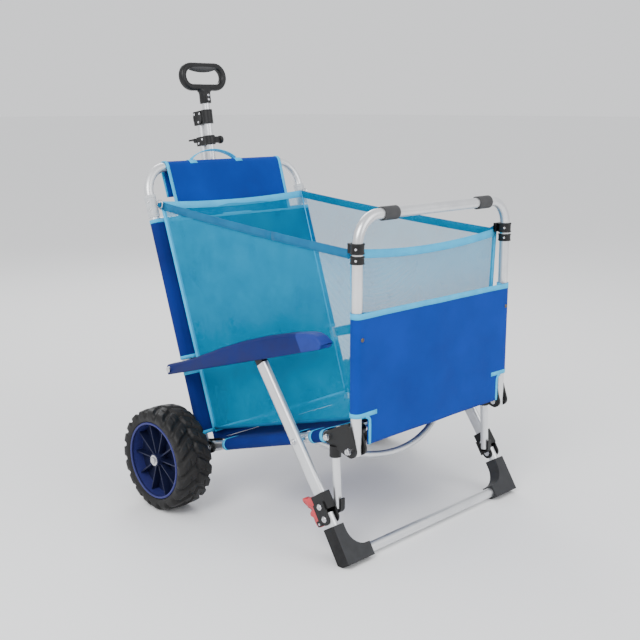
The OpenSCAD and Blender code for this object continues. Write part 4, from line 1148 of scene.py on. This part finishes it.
strap_w = 21
for side_name, s in sides:
    low_a, low_b, top_a, top_b = side_corners(s)
    proud = Vector((0, s * 0.0022, 0))
    for half_name, (u0, u1, follow) in halves.items():
        label = f"basket_{side_name}_{half_name}"
        steps = [u0 + (u1 - u0) * k / 16 for k in range(17)]
        edge = [low_a.lerp(low_b, u) + upright * 0.004 for u in steps]
        follow(strap_piece(f"{label}_binding", edge, Vector((0, s * 0.3, 1)), 8, 1.6))
        drops = [upright * (strap_w / 2 + 16 * u * (1 - u)) / 1000 for u in steps]
        rim = [top_a.lerp(top_b, u) - drop + proud for u, drop in zip(steps, drops)]
        side_strap = strap_piece(f"{label}_strap", rim, upright, strap_w, 2.0)
        follow(side_strap)
        if half_name == "rear" and s > 0:
            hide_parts("basket_webbing")
    rear_end, front_end = [p - upright * strap_w / 2000 + proud for p in (top_a, top_b)]
    loop_at = in_back(26.75, s * 270, clamp_t)
    rear_tail = [
        rear_end, rear_end.lerp(loop_at, 0.35), rear_end.lerp(loop_at, 0.75) + Vector((0, s * 0.002, 0)),
        loop_at + Vector((-0.002, s * 0.001, -0.011)), loop_at + Vector((-0.006, 0, -0.008)),
        rear_end.lerp(loop_at, 0.5) + Vector((0, -s * 0.003, 0.001)),
    ]
    strap_piece(f"basket_{side_name}_rear_tail", rear_tail, upright, 14, 1.8, "backrest")
    bar_at = in_rest(-23, s * 270.5, clamp_up + 12)
    front_tail = [
        front_end, front_end.lerp(bar_at, 0.5) + Vector((0, s * 0.001, 0)), bar_at + Vector((-0.0028, 0, 0)),
        bar_at + Vector((-0.0022, -s * 0.012, -0.004)), bar_at + Vector((-0.004, -s * 0.022, -0.008)),
    ]
    strap_piece(f"basket_{side_name}_front_tail", front_tail, upright, 13, 1.8, "legrest")

# ---- Pull handle ----
# The grip is a closed loop of black polypropylene with a soft ribbed pad for the fingers
# under its top bar, on a forked neck that two screws hold to the stem.
grip_black = grained(
    "grip_black", (0.005, 0.005, 0.006), 0.4,
    (30, (0.004, 0.004, 0.0045), (0.009, 0.009, 0.0095), 0.32, 0.5),
    (900, 2, 0.00015, 0.45), Specular_IOR_Level=0.35,
)
grip_top = 500.5
grip_h = 80
loop_half = 42.5
loop_r = grip_h / 2
bar_r = 9.6
bar_deep = 11.5
loop_mid = grip_top - loop_r


def loop_point(share, inset=0.0):
    """A point round the loop's outline, and the way out from it, as (y, h)."""
    r = loop_r - inset
    straight, bend = 2 * loop_half, math.pi * r
    run = (share % 1) * 2 * (straight + bend)
    if run < straight:
        return (-loop_half + run, loop_mid + r), (0, 1)
    run -= straight
    if run < bend:
        a = math.pi / 2 - run / r
        return (loop_half + r * math.cos(a), loop_mid + r * math.sin(a)), (math.cos(a), math.sin(a))
    run -= bend
    if run < straight:
        return (loop_half - run, loop_mid - r), (0, -1)
    a = -math.pi / 2 - (run - straight) / r
    return (-loop_half + r * math.cos(a), loop_mid + r * math.sin(a)), (math.cos(a), math.sin(a))


grip_rings = []
for k in range(96):
    (y, h), (out_y, out_h) = loop_point(k / 96, bar_r)
    ring = []
    for m in range(16):
        a = 2 * math.pi * m / 16
        deep = bar_deep * abs(math.sin(a)) ** 0.75 * math.copysign(1, math.sin(a))
        out = bar_r * abs(math.cos(a)) ** 0.85 * math.copysign(1, math.cos(a))
        ring.append(in_handle(deep, y + out_y * out, h + out_h * out))
    grip_rings.append(ring)
neck = [(384.6, 16, 16), (386, 16.6, 16.6), (410, 16.4, 16.2), (416, 14.5, 19), (421, 12.6, 26),
        (427, 11, 36),
        (433, 9.5, 44), (438, 6, 47)]
neck_turns = [2 * math.pi * m / 36 for m in range(36)]
neck_rings = [[in_handle(rx * math.cos(a), ry * math.sin(a), h) for a in neck_turns] for h, rx, ry in neck]
grip_loop = gather("pull_grip", [loft_data(grip_rings, round_path=True), loft_data(neck_rings)], grip_black,
                   "handle")
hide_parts("grip")
pad_rings = []
pad_half = 50
for k in range(41):
    share = -1 + 2 * k / 40
    y = share * pad_half
    bulge = (1 - share * share) ** 0.6
    rib = 0.5 * (k % 2) * plateau(1 - abs(share), 0.05, 2, 0.1)
    height, deep = 3 + 9.5 * bulge - rib, 9 + 3.4 * bulge - rib
    ring = []
    for m in range(14):
        a = 2 * math.pi * m / 14
        flatter = 0.55 if math.sin(a) > 0 else 1
        h = grip_top - 13 - 2.4 * bulge + height * math.sin(a) * flatter
        ring.append(in_handle(deep * math.cos(a), y, h))
    pad_rings.append(ring)
finger_pad = loft("finger_pad", pad_rings, soft_rubber, "handle", "soft_sleeve")
grip_screws = [rivet(in_handle(16.1, 0, h), in_handle.forward, 0.0038, 0.0018) for h in (394, 406)]
gather("grip_screws", grip_screws, bright_steel, "handle")

# ---- Guide block and clamp ----
# Two black mouldings ride on the fixed tube: the upper one guides the stem, riveted
# through a side plate, and the lower one grips it when its flat lever is pressed down.
guide_h, clamp_h = 346, 279
guide_parts = []
guide_rivets = []
for s in (1, -1):
    plate = rounded([(-46, guide_h - 19), (-8, guide_h - 19), (-8, guide_h + 19), (-46, guide_h + 19)], 2)
    guide_parts.append(slab(in_handle, plate, s * 13, s * 15.4))
    for n, h in ((-40, guide_h + 12), (-24, guide_h - 12), (-16, guide_h + 11)):
        guide_rivets.append(rivet(in_handle(n, s * 15.3, h), Vector((0, s, 0)), 0.0036, 0.0016))
collar_end = [(-0.2, 1.4), (0.6, 0), (4, 0), (4.6, 0.6)]
for centre_h, long, wide in ((guide_h, 40, 16.2), (clamp_h, 26, 15.7)):
    foot = [(-long / 2 + t, wide - less) for t, less in collar_end]
    head = [(long / 2 - t, wide - less) for t, less in reversed(collar_end)]
    guide_parts += [band(in_handle, 0, centre_h, foot), band(in_handle, 0, centre_h, head)]
for n, h in ((-38, clamp_h - 5), (-20, clamp_h + 5)):
    guide_rivets.append(rivet(in_handle(n, -12.1, h), Vector((0, -1, 0)), 0.0036, 0.0016))
knob_outline = [(0.0075, -0.001), (0.0105, 0), (0.0118, 0.002), (0.0118, 0.007), (0.0102, 0.0095),
                (0.006, 0.0105), (0, 0.0107)]
knob = turned(in_handle(5.5, 30, clamp_h), Vector((0, 1, 0)), knob_outline, 28)
gather("guide_trims", guide_parts + [knob], black_moulding, "backrest")
gather("guide_rivets", guide_rivets, bright_steel, "backrest")
